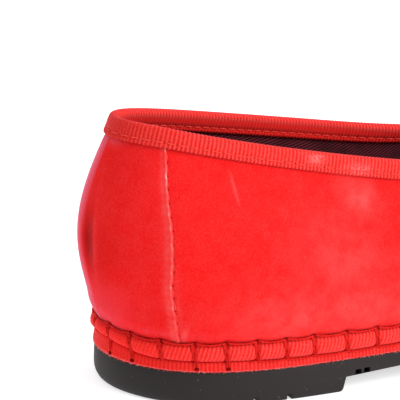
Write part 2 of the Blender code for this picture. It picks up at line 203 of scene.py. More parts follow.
# Worn places of the collar tape: distance from the back seam, half width, share down, strength
WORN_TAPE = (
    (0.0656, 0.0026, 0.22, 0.75),
    (0.0808, 0.0042, 0.62, 0.65),
    (0.2050, 0.0045, 0.30, 0.40),
)

# Hand-sewn course of the band's edges: distance from the back seam, rise of lower and upper edge
BAND_COURSE = (
    (0.000, 0.0014, -0.0006),
    (0.003, 0.0013, -0.0006),
    (0.010, 0.0005, -0.0010),
    (0.015, -0.0004, -0.0013),
    (0.020, -0.0008, -0.0015),
    (0.033, -0.0008, -0.0016),
    (0.041, -0.0007, -0.0012),
    (0.048, -0.0006, -0.0008),
    (0.060, -0.0008, -0.0006),
    (0.070, -0.0008, -0.0003),
    (0.085, -0.0008, -0.0003),
    (0.105, -0.0004, -0.0003),
    (0.135, 0.0, 0.0),
)

# Hand-sewn unevenness of the blanket stitches: stitch, shift round the shoe
STITCH_SHIFTS = (
    (0, -0.0008),
    (1, -0.0015),
    (2, -0.0010),
    (3, -0.0006),
    (4, -0.0009),
    (5, -0.0012),
    (6, -0.0016),
    (7, -0.0019),
    (8, -0.0002),
    (9, 0.0009),
    (10, 0.0005),
    (12, 0.0),
)

# Marks of the velvet's relief and tone: distance from their seam or edge, half width and height
# or strength, and for some the place and half length down the wall
# The marks that darken the pile paint shade, and the two back seam marks that tint it pink paint
# sheen
BACK_RIDGE = (-0.0026, 0.0012, 0.0003)
BACK_LOBE = (-0.0048, 0.0038, 0.00045, 0.62, 0.24)
BACK_POCKET = (0.58, 0.15, 1.0)
BACK_POCKET_SHADE = (0.0, 0.0014, 0.84)
BACK_SIDE_SHADE = (0.0035, 0.0050, 0.20, 0.66, 0.20)
BACK_RUB = (0.0024, 0.0006, 0.12)
BACK_SHEEN = (0.003, 0.009, 0.32)
BACK_TOP_SHEEN = (0.0015, 0.0055, 0.28, 0.09, 0.022)
COUNTER_VALLEY = (0.0, 0.00028, -0.00022)
COUNTER_RIDGE = (-0.0009, 0.0007, 0.00024)
COUNTER_SHADE = (0.0, 0.00028, 0.12)
COUNTER_FRAY = (-0.0005, 0.00034, 1.0)
COUNTER_RUB = (-0.0015, 0.0013, 0.32)
COUNTER_FRONT_RUB = (0.0010, 0.0009, 0.20)
CREASE_RUB = 0.24
FOOT_LINE = (0.0, 0.0012, -0.0001)
FOOT_SWELL = (0.0050, 0.0030, 0.0004)
FOOT_SHADE = (0.0, 0.0006, 0.45)
FOOT_TUFTS = (0.0026, 0.0014, 0.28)
STITCH_DENT = (0.0, 0.0016, -0.0004)
STITCH_SHADE = (0.0, 0.0008, 0.95)
TAPE_LINE = (BINDING_DEPTH, 0.0012, -0.00025)
TAPE_EDGE_SHADOW = (BINDING_DEPTH, 0.0004, 0.25)

# The velvet's own thickness, where the lining begins as a share of the wall, where the band
# begins as a share of its height, and how wide a blanket stitch draws the band in
VELVET = WALL * 0.55
LINING_START = 0.62
BAND_FOOT = 0.035
STITCH_PINCH = 0.0007

# Heights at which a blanket stitch dives into the feather and under the band, in band heights
STITCH_TOP = 1.12
STITCH_FOOT = -0.10

# How finely the pieces are drawn
OUTLINE_SAMPLES = 1440
PROFILE_SAMPLES = 80
VELVET_COLUMNS = 700
VELVET_TAPE_ROWS = 12
VELVET_ROWS = 99
LINING_COLUMNS = 360
LINING_ROWS = 34
TAPE_RIB_POINTS = 4
BAND_RIB_POINTS = 5
BAND_ROWS = 13
CORD_POINTS = 2200
CORE_STATIONS = 90
FOOTBED_STATIONS = 110
FOOTBED_COLUMNS = 16
OUTSOLE_STATIONS = 150

# Seeds of the loose hairs and of the straw flecks
HAIR_SEED = 7
STRAW_SEED = 41

# Lamps: name, place, the point they face, side length, and the setting that holds their power
LAMPS = (
    ("key_lamp", (0.62, -0.95, 0.80), (0.0, 0.0, 0.04), 0.7, "key"),
    ("top_lamp", (0.15, 0.05, 1.3), (0.0, 0.0, 0.0), 1.1, "top"),
    ("back_lamp", (-0.8, 0.45, 0.5), (-0.08, 0.0, 0.05), 0.5, "rim"),
)
FLOOR_HALF = 2.5
SENSOR_WIDTH = 36.0
SEAT_HEIGHT = HEEL_HEIGHT + MIDSOLE_HEIGHT + BAND_HEIGHT


def ease(value, start, end):
    """Smooth 0 to 1 as value goes from start to end."""
    t = np.clip((np.asarray(value, float) - start) / (end - start), 0.0, 1.0)
    return t * t * (3.0 - 2.0 * t)


def bell(distance, width):
    """1 at no distance, falling smoothly to 0 beyond about twice the width."""
    return np.exp(-(np.asarray(distance, float) / width) ** 2)


def mark(at, shape, down=None):
    """A soft mark at distances from its seam or edge: see the table of the velvet's marks."""
    place, width, height, *lengthwise = shape
    value = height * bell(at - place, width)
    if lengthwise:
        value = value * bell(down - lengthwise[0], lengthwise[1])
    return value


def strongest(*values):
    """The largest of several values at each point."""
    most = values[0]
    for value in values[1:]:
        most = np.maximum(most, value)
    return most


def unit(vectors):
    """Vectors of length one along the last axis."""
    return vectors / np.linalg.norm(vectors, axis=-1, keepdims=True)


def way_along(points):
    """Distance along an open line from its first point to each of its points."""
    return np.concatenate([[0.0], np.cumsum(np.linalg.norm(np.diff(points, axis=0), axis=1))])


def read_line(wanted, way, points):
    """Points of a line at the distances wanted, from the distance and place of its points."""
    return np.column_stack([np.interp(wanted, way, column) for column in np.transpose(points)])


def loop_curve(keys, rows, at):
    """Closed smooth curve through rows, which stand at keys (0 to 1), read at the shares given."""
    keys = np.asarray(keys, float)
    rows = np.asarray(rows, float)
    count = len(keys)
    gap = np.diff(np.append(keys, keys[0] + 1.0))
    following = np.roll(rows, -1, axis=0)
    slope = (following - rows) / gap[:, None]
    system = np.zeros((count, count))
    right = np.zeros_like(rows)
    for i in range(count):
        before = gap[i - 1]
        system[i, i - 1] += before
        system[i, i] += 2.0 * (before + gap[i])
        system[i, (i + 1) % count] += gap[i]
        right[i] = 6.0 * (slope[i] - slope[i - 1])
    bend = np.linalg.solve(system, right)
    at = (np.asarray(at, float) - keys[0]) % 1.0 + keys[0]
    low = np.clip(np.searchsorted(keys, at, side="right") - 1, 0, count - 1)
    width = gap[low][:, None]
    t = (at - keys[low])[:, None]
    bend_low = bend[low]
    bend_high = bend[(low + 1) % count]
    first = slope[low] - width * (2.0 * bend_low + bend_high) / 6.0
    cubic = (bend_high - bend_low) / (6.0 * width)
    return rows[low] + t * first + t ** 2 * bend_low / 2.0 + t ** 3 * cubic


def steps_round(points):
    """Distance from each point of a closed curve to the next."""
    return np.linalg.norm(np.roll(points, -1, axis=0) - points, axis=1)


def slope_round(points):
    """Direction of a closed curve, or of each curve of a grid, at its points, not yet unit."""
    return np.roll(points, -1, axis=0) - np.roll(points, 1, axis=0)


def make_outline():
    """Plan outline of the sole as points evenly spaced round it."""
    rows = np.array(OUTLINE) * (LENGTH, BALL_WIDTH)
    steps = steps_round(rows)
    keys = np.concatenate([[0.0], np.cumsum(steps)[:-1]]) / steps.sum()
    even = np.arange(OUTLINE_SAMPLES) / OUTLINE_SAMPLES
    points = loop_curve(keys, rows, even)
    for _ in range(2):
        steps = steps_round(points)
        way = np.concatenate([[0.0], np.cumsum(steps)]) / steps.sum()
        points = read_line(even, way, np.vstack([points, points[:1]]))
    return points


OUTLINE_POINTS = make_outline()
PERIMETER = steps_round(OUTLINE_POINTS).sum()
TOE_INDEX = int(np.argmax(OUTLINE_POINTS[:, 0]))
PLACE = np.array((OUTSOLE_LOW[0], OUTSOLE_LOW[1] - OUTLINE_POINTS[:, 1].min(), OUTSOLE_LOW[2]))
STITCHES = round(PERIMETER / STITCH_PITCH)
LONG_STITCHES = (0, 1, 3, 4, STITCHES - 3, STITCHES - 4, STITCHES - 6)


def on_outline(share, outward=0.0):
    """Points of the sole's outline at shares of the way round, set outward by a distance."""
    place = (np.asarray(share, float) % 1.0) * OUTLINE_SAMPLES
    low = np.floor(place).astype(int) % OUTLINE_SAMPLES
    part = (place - np.floor(place))[:, None]
    high = (low + 1) % OUTLINE_SAMPLES
    points = OUTLINE_POINTS[low] * (1.0 - part) + OUTLINE_POINTS[high] * part
    along = OUTLINE_POINTS[(low + 3) % OUTLINE_SAMPLES] - OUTLINE_POINTS[low - 2]
    along_next = OUTLINE_POINTS[(low + 4) % OUTLINE_SAMPLES] - OUTLINE_POINTS[low - 1]
    along = unit(along * (1.0 - part) + along_next * part)
    normal = np.column_stack([along[:, 1], -along[:, 0]])
    return points + normal * np.asarray(outward, float).reshape(-1, 1)


def share_at(x, side):
    """Share of the way round where the outline's outer (-1) or inner (+1) side passes x."""
    if side < 0:
        part = OUTLINE_POINTS[:TOE_INDEX + 1, 0]
        return float(np.interp(x, part, np.arange(TOE_INDEX + 1))) / OUTLINE_SAMPLES
    part = np.append(OUTLINE_POINTS[TOE_INDEX:, 0], OUTLINE_POINTS[0, 0])[::-1]
    back = float(np.interp(x, part, np.arange(len(part))))
    return (1.0 - back / OUTLINE_SAMPLES) % 1.0


def outsole_top(x):
    """Height of the rubber's upper face: level over the heel, down to the ball, up to the toe."""
    waist_end = HEEL_LENGTH + WAIST_LENGTH
    fall = (HEEL_HEIGHT - TREAD_THICKNESS) * ease(x, waist_end, BALL_START)
    past_break = np.clip(x - TOE_BREAK, 0.0, None) / (LENGTH - TOE_BREAK)
    return HEEL_HEIGHT - fall + TOE_SPRING * past_break ** TOE_SPRING_BEND


def outsole_under(x):
    """Height of the rubber's underside: heel on the floor, breast, raised waist, forefoot."""
    x = np.asarray(x, float)
    waist_end = HEEL_LENGTH + WAIST_LENGTH
    behind = HEEL_HEIGHT - BREAST_HEIGHT
    share = np.clip((x - HEEL_LENGTH) / (waist_end - HEEL_LENGTH), 0.0, 1.0)
    thickness = behind + (TREAD_THICKNESS - behind) * share
    raised = np.maximum(outsole_top(x) - thickness, 0.0)
    breast = np.clip((x - HEEL_LENGTH) / BREAST_SLOPE, 0.0, 1.0)
    reach = np.clip(x - HEEL_LENGTH + BREAST_ROUND, 0.0, BREAST_ROUND)
    corner = BREAST_ROUND - np.sqrt(BREAST_ROUND ** 2 - reach ** 2)
    return corner + (raised - corner) * breast


def midsole_top(x):
    """Height of the seam line between the wrapped midsole and the stitched band."""
    back = 1.0 - ease(x, 0.0, HEEL_LENGTH + WAIST_LENGTH)
    return outsole_top(x) + MIDSOLE_HEIGHT + MIDSOLE_BACK_RISE * back


def band_top(x):
    """Height of the feather line, where the upper meets the stitched band."""
    back = 1.0 - ease(x, 0.0, HEEL_LENGTH)
    return midsole_top(x) + BAND_HEIGHT + BAND_BACK_RISE * back


def band_rise(share, edge):
    """How far the band's lower (1) or upper (2) edge runs above its level at shares round."""
    table = np.array(BAND_COURSE)
    return np.interp(np.abs(from_back(share)), table[:, 0], table[:, edge])


def lower_edge(share, x):
    """Height of the stitched band's lower edge at shares round the shoe."""
    return midsole_top(x) + band_rise(share, 1)


def upper_edge(share, x):
    """Height of the stitched band's upper edge, the feather line, at shares round the shoe."""
    return band_top(x) + band_rise(share, 2)


def upper_profiles(shares):
    """Curves of the upper's outer face, from feather to topline, at shares round the shoe."""
    table = np.array(UPPER_SECTIONS)
    rows = loop_curve(table[:, 0], table[:, 1:], shares)
    foot_plan = on_outline(shares, FEATHER_PROUD)
    foot = np.column_stack([foot_plan, upper_edge(shares, foot_plan[:, 0]) + GAP])
    top = rows[:, :3] * (LENGTH, BALL_WIDTH, COLLAR_DEPTH) + (0.0, 0.0, SEAT_HEIGHT)
    outward = np.column_stack([unit((foot - top)[:, :2]), np.zeros(len(shares))])
    up = np.array((0.0, 0.0, COLLAR_DEPTH))
    near_foot = foot + up * rows[:, 3:4] + outward * rows[:, 4:5] * BALL_WIDTH
    near_top = top - up * rows[:, 5:6] + outward * rows[:, 6:7] * BALL_WIDTH
    t = np.linspace(0.0, 1.0, PROFILE_SAMPLES + 1)[None, :, None]
    return (foot[:, None] * (1.0 - t) ** 3 + near_foot[:, None] * 3.0 * t * (1.0 - t) ** 2
            + near_top[:, None] * 3.0 * t ** 2 * (1.0 - t) + top[:, None] * t ** 3)


def read_profiles(curves, below_top):
    """Points of each curve at distances below the topline (one row of distances per curve)."""
    points = []
    for curve, wanted in zip(curves, below_top):
        back = curve[::-1]
        points.append(read_line(wanted, way_along(back), back))
    return np.array(points)


def face_normals(points):
    """Outward normals of a grid of points: first index round the shoe, second down the wall."""
    return unit(np.cross(np.gradient(points, axis=1), slope_round(points)))


def wall_lengths(curves):
    """Length of each profile from topline to feather."""
    return np.linalg.norm(np.diff(curves, axis=1), axis=2).sum(axis=1)


def from_back(share):
    """Signed distance round the outline from the back seam, minus on the inner side."""
    return ((np.asarray(share, float) + 0.5) % 1.0 - 0.5) * PERIMETER


def stitch_share(index):
    """Share of the way round the shoe of one blanket stitch."""
    index = np.asarray(index, float)
    table = np.array(STITCH_SHIFTS + ((STITCHES - 3, 0.0), (STITCHES, STITCH_SHIFTS[0][1])))
    shift = np.interp(index % STITCHES, table[:, 0], table[:, 1])
    return (FIRST_STITCH + shift) / PERIMETER + index / STITCHES


STITCH_PLACES = np.linspace(-2.0, STITCHES + 2.0, 6001)
STITCH_SHARES = stitch_share(STITCH_PLACES)


def to_stitch(share):
    """Distance round the band from the nearest blanket stitch, and the place between two."""
    place = np.interp(np.asarray(share, float) % 1.0, STITCH_SHARES, STITCH_PLACES)
    part = place - np.floor(place)
    return np.minimum(part, 1.0 - part) * PERIMETER / STITCHES, part


def set_attributes(mesh, size, **rows):
    """Stores numbers a point, which the materials read, for rings of size points.

    A single column holds for the whole ring, and points past a shorter row get nought.
    """
    for name, values in rows.items():
        values = np.asarray(values, np.float32)
        if values.ndim == 1:
            values = np.repeat(values[:, None], size, axis=1)
        values = np.pad(values, ((0, 0), (0, size - values.shape[1])))
        layer = mesh.attributes.new(name, "FLOAT", "POINT")
        layer.data.foreach_set("value", values.ravel())


def show(name, mesh, material):
    """Puts a mesh in the scene as a piece that stands on the shoe's body."""
    item = bpy.data.objects.new(name, mesh)
    bpy.context.scene.collection.objects.link(item)
    mesh.materials.append(material)
    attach(item, "root")
    return item


def mesh_from(name, points, faces, corner_uv=None, smooth=True):
    """Mesh from points in the shoe's own frame, set in place, its faces turned outward."""
    mesh = bpy.data.meshes.new(name)
    points = np.asarray(points, float) + PLACE
    mesh.from_pydata(points.tolist(), [], [tuple(f) for f in faces])
    if corner_uv is not None:
        layer = mesh.uv_layers.new(name="UVMap")
        layer.data.foreach_set("uv", np.asarray(corner_uv, np.float32).ravel())
    work = bmesh.new()
    work.from_mesh(mesh)
    bmesh.ops.recalc_face_normals(work, faces=work.faces)
    work.to_mesh(mesh)
    work.free()
    if smooth:
        mesh.shade_smooth()
    return mesh


def ring_mesh(name, grid, around, across):
    """Closed ring: grid[i][k] is point k of section i; around and across are its flat places."""
    count, size = grid.shape[:2]
    uv = np.stack(np.broadcast_arrays(around[:, None], across), axis=2)
    i, k = np.meshgrid(np.arange(count), np.arange(size), indexing="ij")
    j = (i + 1) % count
    m = (k + 1) % size
    faces = np.stack([i * size + k, i * size + m, j * size + m, j * size + k], axis=-1)
    wide = np.zeros((count + 1, size + 1, 2))
    wide[:count, :size] = uv
    wide[count, :size] = uv[0] + (uv[-1, 0, 0] + uv[1, 0, 0] - uv[0, 0, 0], 0.0)
    wide[:, size] = wide[:, 0]
    corner = np.stack([wide[i, k], wide[i, k + 1], wide[i + 1, k + 1], wide[i + 1, k]], axis=2)
    return mesh_from(name, grid.reshape(-1, 3), faces.reshape(-1, 4), corner.reshape(-1, 2))


def tube_points(path, radius, sides, closed=False):
    """Rings of points round a path; radius may be one number or one for each point."""
    path = np.asarray(path, float)
    along = unit(slope_round(path) if closed else np.gradient(path, axis=0))
    first = np.cross(along, (0.0, 0.0, 1.0))
    weak = np.linalg.norm(first, axis=1) < 0.2
    first[weak] = np.cross(along[weak], (1.0, 0.0, 0.0))
    first = unit(first)
    second = np.cross(along, first)
    turn = np.arange(sides) / sides * 2.0 * math.pi
    radius = np.broadcast_to(np.asarray(radius, float), (len(path),))
    ring = (first[:, None] * np.cos(turn)[None, :, None]
            + second[:, None] * np.sin(turn)[None, :, None])
    return path[:, None] + ring * radius[:, None, None]


class Bundle:
    """Collects tubes and patches that become one joined mesh."""

    def __init__(self):
        self.points = []
        self.faces = []
        self.count = 0

    def tube(self, path, radius, sides=6, closed=False):
        """Adds a tube with closed ends, or one that closes on itself."""
        rings = tube_points(path, radius, sides, closed)
        count = len(rings)
        start = self.count
        self.points.append(rings.reshape(-1, 3))
        self.count += count * sides
        for i in range(count if closed else count - 1):
            j = (i + 1) % count
            for k in range(sides):
                m = (k + 1) % sides
                self.faces.append((start + i * sides + k, start + i * sides + m,
                                   start + j * sides + m, start + j * sides + k))
        if not closed:
            self.faces.append(tuple(start + k for k in range(sides))[::-1])
            self.faces.append(tuple(start + (count - 1) * sides + k for k in range(sides)))

    def mesh(self, name):
        """The joined mesh."""
        return mesh_from(name, np.vstack(self.points), self.faces)


def sewn(name, threads, material, holes_name, holes, colours):
    """Shows a row of stitches and the painted shade of its needle holes as two pieces."""
    show(name, threads.mesh(name), material)
    show(holes_name, holes.mesh(holes_name), hole_material(colours))


def taper(count, end=0.35):
    """Radius shares of a stitch that is thinner where it dives into its holes."""
    t = np.linspace(-1.0, 1.0, count)
    return end + (1.0 - end) * np.sqrt(np.clip(1.0 - t ** 4, 0.0, 1.0))


def colour(values):
    """Colour with full alpha."""
    return (*values[:3], 1.0)


def times(tint, *shares):
    """Colour with all its channels scaled by one share, or each by its own."""
    return tuple(channel * share for channel, share in zip(tint, shares * (3 // len(shares))))


class Finish:
    """A material in the making: its node tree, its shader and the nodes that feed it."""

    def __init__(self, name, base, roughness):
        self.material = bpy.data.materials.new(name)
        self.material.use_nodes = True
        self.tree = self.material.node_tree
        self.shader = self.tree.nodes["Principled BSDF"]
        self.place = self.node("TexCoord").outputs["Object"]
        self.give("Base Color", colour(base))
        self.give("Roughness", roughness)

    def feed(self, socket, value):
        """Links another node's socket to an input, or sets the input to a plain value."""
        if isinstance(value, bpy.types.NodeSocket):
            self.tree.links.new(value, socket)
        else:
            socket.default_value = value

    def give(self, name, value):
        """Feeds one input of the shader itself."""
        self.feed(self.shader.inputs[name], value)

    def node(self, kind, **values):
        """New shader node with its settings and inputs, which go by name or as i and a number."""
        node = self.tree.nodes.new("ShaderNode" + kind)
        for key, value in values.items():
            if hasattr(node, key) and key not in node.inputs:
                setattr(node, key, value)
            else:
                self.feed(node.inputs[int(key[1:]) if key[1:].isdigit() else key], value)
        return node

    def blend(self, factor, low, high):
        """Colour between low and high by a factor socket; low and high are colours or sockets."""
        node = self.tree.nodes.new("ShaderNodeMix")
        node.data_type = "RGBA"
        self.feed(node.inputs["Factor"], factor)
        for key, value in (("A", low), ("B", high)):
            socket = next(s for s in node.inputs if s.name == key and s.type == "RGBA")
            self.feed(socket, value if isinstance(value, bpy.types.NodeSocket) else colour(value))
        return next(s for s in node.outputs if s.type == "RGBA")

    def paint(self, tone, *coats):
        """Base colour from a tone and its coats, each a factor socket and a colour."""
        for factor, over in coats:
            tone = self.blend(factor, tone, over)
        self.give("Base Color", tone)

    def scaled(self, value, from_low, from_high, to_low=0.0, to_high=1.0):
        """Maps a socket's range to another."""
        return self.node("MapRange", i0=value, i1=from_low, i2=from_high, i3=to_low,
                         i4=to_high).outputs[0]

    def product(self, first, second):
        """One socket times another."""
        return self.node("Math", operation="MULTIPLY", i0=first, i1=second).outputs[0]

    def read(self, name):
        """Socket of one number a point."""
        return self.node("Attribute", attribute_name=name).outputs["Fac"]

    def grain(self, scale, detail=2.0, roughness=0.5, where=None):
        """Noise socket."""
        return self.node("TexNoise", Vector=self.place if where is None else where, Scale=scale,
                         Detail=detail, Roughness=roughness).outputs["Fac"]

    def yarns(self, where, direction, scale, distortion, detail=2.0):
        """Socket of parallel yarns across X or Y."""
        return self.node("TexWave", Vector=where, bands_direction=direction, Scale=scale,
                         Distortion=distortion, Detail=detail).outputs["Fac"]

    def bumped(self, height, distance, strength, under=None):
        """Bump socket from a height socket, over another bump if one is given."""
        node = self.node("Bump", Height=height, Distance=distance, Strength=strength)
        if under is not None:
            self.feed(node.inputs["Normal"], under)
        return node.outputs["Normal"]


def velvet_material(colours):
    """Short red pile: pale along worn ridges and at grazing light, with a painted sheen by the back
    seam and painted shade in the seams, the pocket, the dents and under the edges.
    """
    look = Finish("red_velvet", colours.velvet, 0.85)
    mottle = look.grain(190.0, 3.0, 0.6)
    lay = look.node("Mapping", Vector=look.place, Scale=(1.0, 1.0, 0.55)).outputs[0]
    pile = look.grain(3000.0, 2.0, 0.7, lay)
    # Pale where worn, and on the painted highlight and sheen patches
    worn = look.product(look.read("rubbed"), look.scaled(mottle, 0.30, 0.62, 0.45, 1.0))
    look.paint(
        times(colours.velvet, 0.90),
        (look.scaled(look.grain(24.0), 0.35, 0.65), colours.velvet),
        (look.scaled(mottle, 0.35, 0.75, 0.0, 0.05), colours.pale_pile),
        (look.scaled(pile, 0.36, 0.50, 0.17, 0.0), times(colours.velvet, 0.55)),
        (look.scaled(pile, 0.50, 0.68, 0.0, 0.10), colours.pale_pile),
        # painted sheen by the back seam, and the pale fuzz tufts at the foot
        (look.read("bloom"), colours.bloom),
        (worn, colours.pale_pile),
        (look.scaled(worn, 0.45, 0.95, 0.0, 0.95), colours.fray),
        # painted shade in the seams, the pocket, the dents and the crevices
        (look.read("pressed"), times(colours.velvet, 0.35)))
    look.give("Specular IOR Level", 0.02)
    look.give("Sheen Weight", 1.0)
    look.give("Sheen Roughness", 0.22)
    look.give("Sheen Tint", colour(colours.sheen))
    look.give("Normal", look.bumped(mottle, 0.0006, 0.5, look.bumped(pile, 0.00018, 0.5)))
    return look.material


def grosgrain_material(colours, name, tone_share=1.0):
    """Ribbed tape: each rib crossed by fine yarns, with painted shade between ribs and a painted
    highlight on their crests, pale where worn.
    """
    base = times(colours.grosgrain, tone_share)
    look = Finish(name, base, 0.62)
    rib = look.read("rib")
    yarns = look.yarns(look.node("UVMap").outputs["UV"], "Y", 900.0, 1.5, 1.0)
    fuzz = look.grain(1500.0)
    look.paint(
        # Painted shade where rib is low: between ribs, at the stitches, near the back seam and in a
        # band inside the tape
        times(base, 0.72, 0.4, 0.4),
        (look.scaled(rib, 0.0, 0.85), base),
        # Painted highlight on the ribs' crests
        (look.scaled(rib, 0.4, 1.0, 0.0, 0.24), colours.pale_pile),
        (look.scaled(look.grain(160.0), 0.35, 0.7, 0.0, 0.25), times(base, 0.85)),
        (look.scaled(fuzz, 0.45, 0.75, 0.0, 0.14), colours.pale_pile),
        # Painted reflected light: redder and brighter where red cloth faces it
        (look.read("inward"), times(base, 1.2, 0.6, 0.6)),
        (look.product(look.read("worn"), look.scaled(fuzz, 0.3, 0.6)), colours.pale_pile))
    look.give("Specular IOR Level", 0.08)
    look.give("Sheen Weight", 0.10)
    look.give("Sheen Tint", colour(colours.sheen))
    look.give("Normal", look.bumped(fuzz, 0.0001, 0.4, look.bumped(yarns, 0.00006, 0.6)))
    return look.material


def thread_material(tint, name, share=1.0):
    """Sewing thread with its twist."""
    base = times(tint, share)
    look = Finish(name, base, 0.6)
    twist = look.grain(2200.0, 1.0)
    look.paint(times(base, 0.75), (look.scaled(twist, 0.35, 0.65), base))
    look.give("Specular IOR Level", 0.08)
    look.give("Normal", look.bumped(twist, 0.0001, 0.6))
    return look.material


def hair_material(colours):
    """Loose pale fibre ends."""
    look = Finish("frayed_fibre", colours.pale_pile, 0.8)
    look.paint(colours.grosgrain, (look.scaled(look.grain(1200.0, 1.0), 0.35, 0.65), colours.fray))
    return look.material


def hole_material(colours):
    """Painted shade inside the needle holes, for the dark plugs set in them."""
    look = Finish("needle_hole", colours.shade, 0.95)
    look.give("Specular IOR Level", 0.0)
    look.paint(times(colours.shade, 0.6),
               (look.scaled(look.grain(3000.0, 1.0), 0.3, 0.7), colours.shade))
    return look.material


def lining_material(colours, name="maroon_lining"):
    """Dark twill with fine diagonal lines."""
    look = Finish(name, colours.lining, 0.75)
    flat = look.node("UVMap").outputs["UV"]
    turned = look.node("Mapping", Vector=flat, Rotation=(0.0, 0.0, math.radians(69.0))).outputs[0]
    twill = look.yarns(turned, "X", 320.0, 0.5, 1.0)
    weft = look.yarns(flat, "Y", 700.0, 0.8)
    look.paint(
        times(colours.lining, 0.45),
        (look.scaled(twill, 0.40, 0.85), times(colours.lining, 2.7, 3.3, 3.3)),
        (look.scaled(look.grain(130.0), 0.48, 0.66, 0.0, 0.55), times(colours.lining, 0.4)))
    look.give("Specular IOR Level", 0.12)
    look.give("Sheen Weight", 0.04)
    look.give("Normal", look.bumped(twill, 0.00015, 0.8, look.bumped(weft, 0.00005, 0.5)))
    return look.material


def rubber_material(colours):
    """Smooth matt black rubber with a faint bloom, dust and small pale specks."""
    look = Finish("black_rubber", colours.rubber, 0.55)
    bloom = look.grain(60.0, 4.0)
    dust = (0.18, 0.16, 0.13)
    look.paint(
        colours.rubber,
        (look.scaled(bloom, 0.35, 0.7), times(colours.rubber, 1.35)),
        (look.scaled(look.grain(900.0, 1.0, 0.4), 0.74, 0.81, 0.0, 0.5), dust))
    look.give("Roughness", look.scaled(bloom, 0.3, 0.7, 0.48, 0.66))
    look.give("Specular IOR Level", 0.24)
    look.give("Normal", look.bumped(look.grain(1400.0, 3.0), 0.00006, 0.35))
    return look.material


def straw_material(colours):
    """Dry plant fibres caught in the tread."""
    look = Finish("straw_fleck", colours.straw, 0.8)
    fibre = look.grain(700.0, 3.0)
    look.paint(times(colours.straw, 0.5), (look.scaled(fibre, 0.3, 0.7), colours.straw))
    look.give("Normal", look.bumped(fibre, 0.0002, 0.6))
    return look.material


def core_material():
    """Foam platform inside the wrapping, out of sight."""
    look = Finish("foam_core", (0.35, 0.3, 0.24), 0.9)
    cells = look.node("TexVoronoi", Vector=look.place, Scale=900.0).outputs["Distance"]
    look.give("Normal", look.bumped(cells, 0.0002, 0.5))
    return look.material


def floor_material(colours):
    """Plain pale floor with a very faint unevenness."""
    look = Finish("pale_floor", colours.floor, 0.8)
    look.paint(times(colours.floor, 0.98), (look.grain(8.0), colours.floor))
    look.give("Emission Color", colour((1.0, 1.0, 1.0)))
    look.give("Emission Strength", 0.62)
    return look.material


def spread_shares(count, spots, gain, width):
    """Shares round the shoe, closer together near the spots (distances from the back seam)."""
    fine = np.linspace(0.0, 1.0, 8001)
    away = from_back(fine)
    weight = np.ones_like(fine)
    for spot in spots:
        weight += gain * bell(away - spot, width)
    way = np.concatenate([[0.0], np.cumsum((weight[1:] + weight[:-1]) / 2.0)])
    return np.interp(np.arange(count) / count, way / way[-1], fine)


def counter_places(down):
    """Distance from the back seam to the counter seam at shares of the way down the wall."""
    table = np.array(COUNTER_SEAM)
    return np.interp(down, table[:, 0], table[:, 1]) * PERIMETER


def crease_height(share, down, lengths, creases=CREASES):
    """Height of the listed soft creases on the velvet."""
    around = share * PERIMETER
    height = np.zeros(np.broadcast(share, down).shape)
    for r0, d0, r1, d1, width, rise in creases:
        ax = r0 * PERIMETER
        bx = r1 * PERIMETER
        ay = d0 * lengths
        by = d1 * lengths
        px = around - ax
        py = down * lengths - ay
        ux = bx - ax
        uy = by - ay
        t = np.clip((px * ux + py * uy) / (ux ** 2 + uy ** 2), 0.0, 1.0)
        away = np.hypot(px - t * ux, py - t * uy)
        height = height + rise * bell(away, width) * (0.35 + 0.65 * np.sin(t * math.pi))
    return height


def pile_rub_and_sheen(share, down):
    """How pale the pile is, 0 to 1, in the worn places and the painted highlight and sheen."""
    value = np.zeros(np.broadcast(share, down).shape)
    for r, d, wide, tall, strength in RUBBED_AND_SHEEN:
        value = np.maximum(value, strength * bell(share - r, wide) * bell(down - d, tall))
    return value


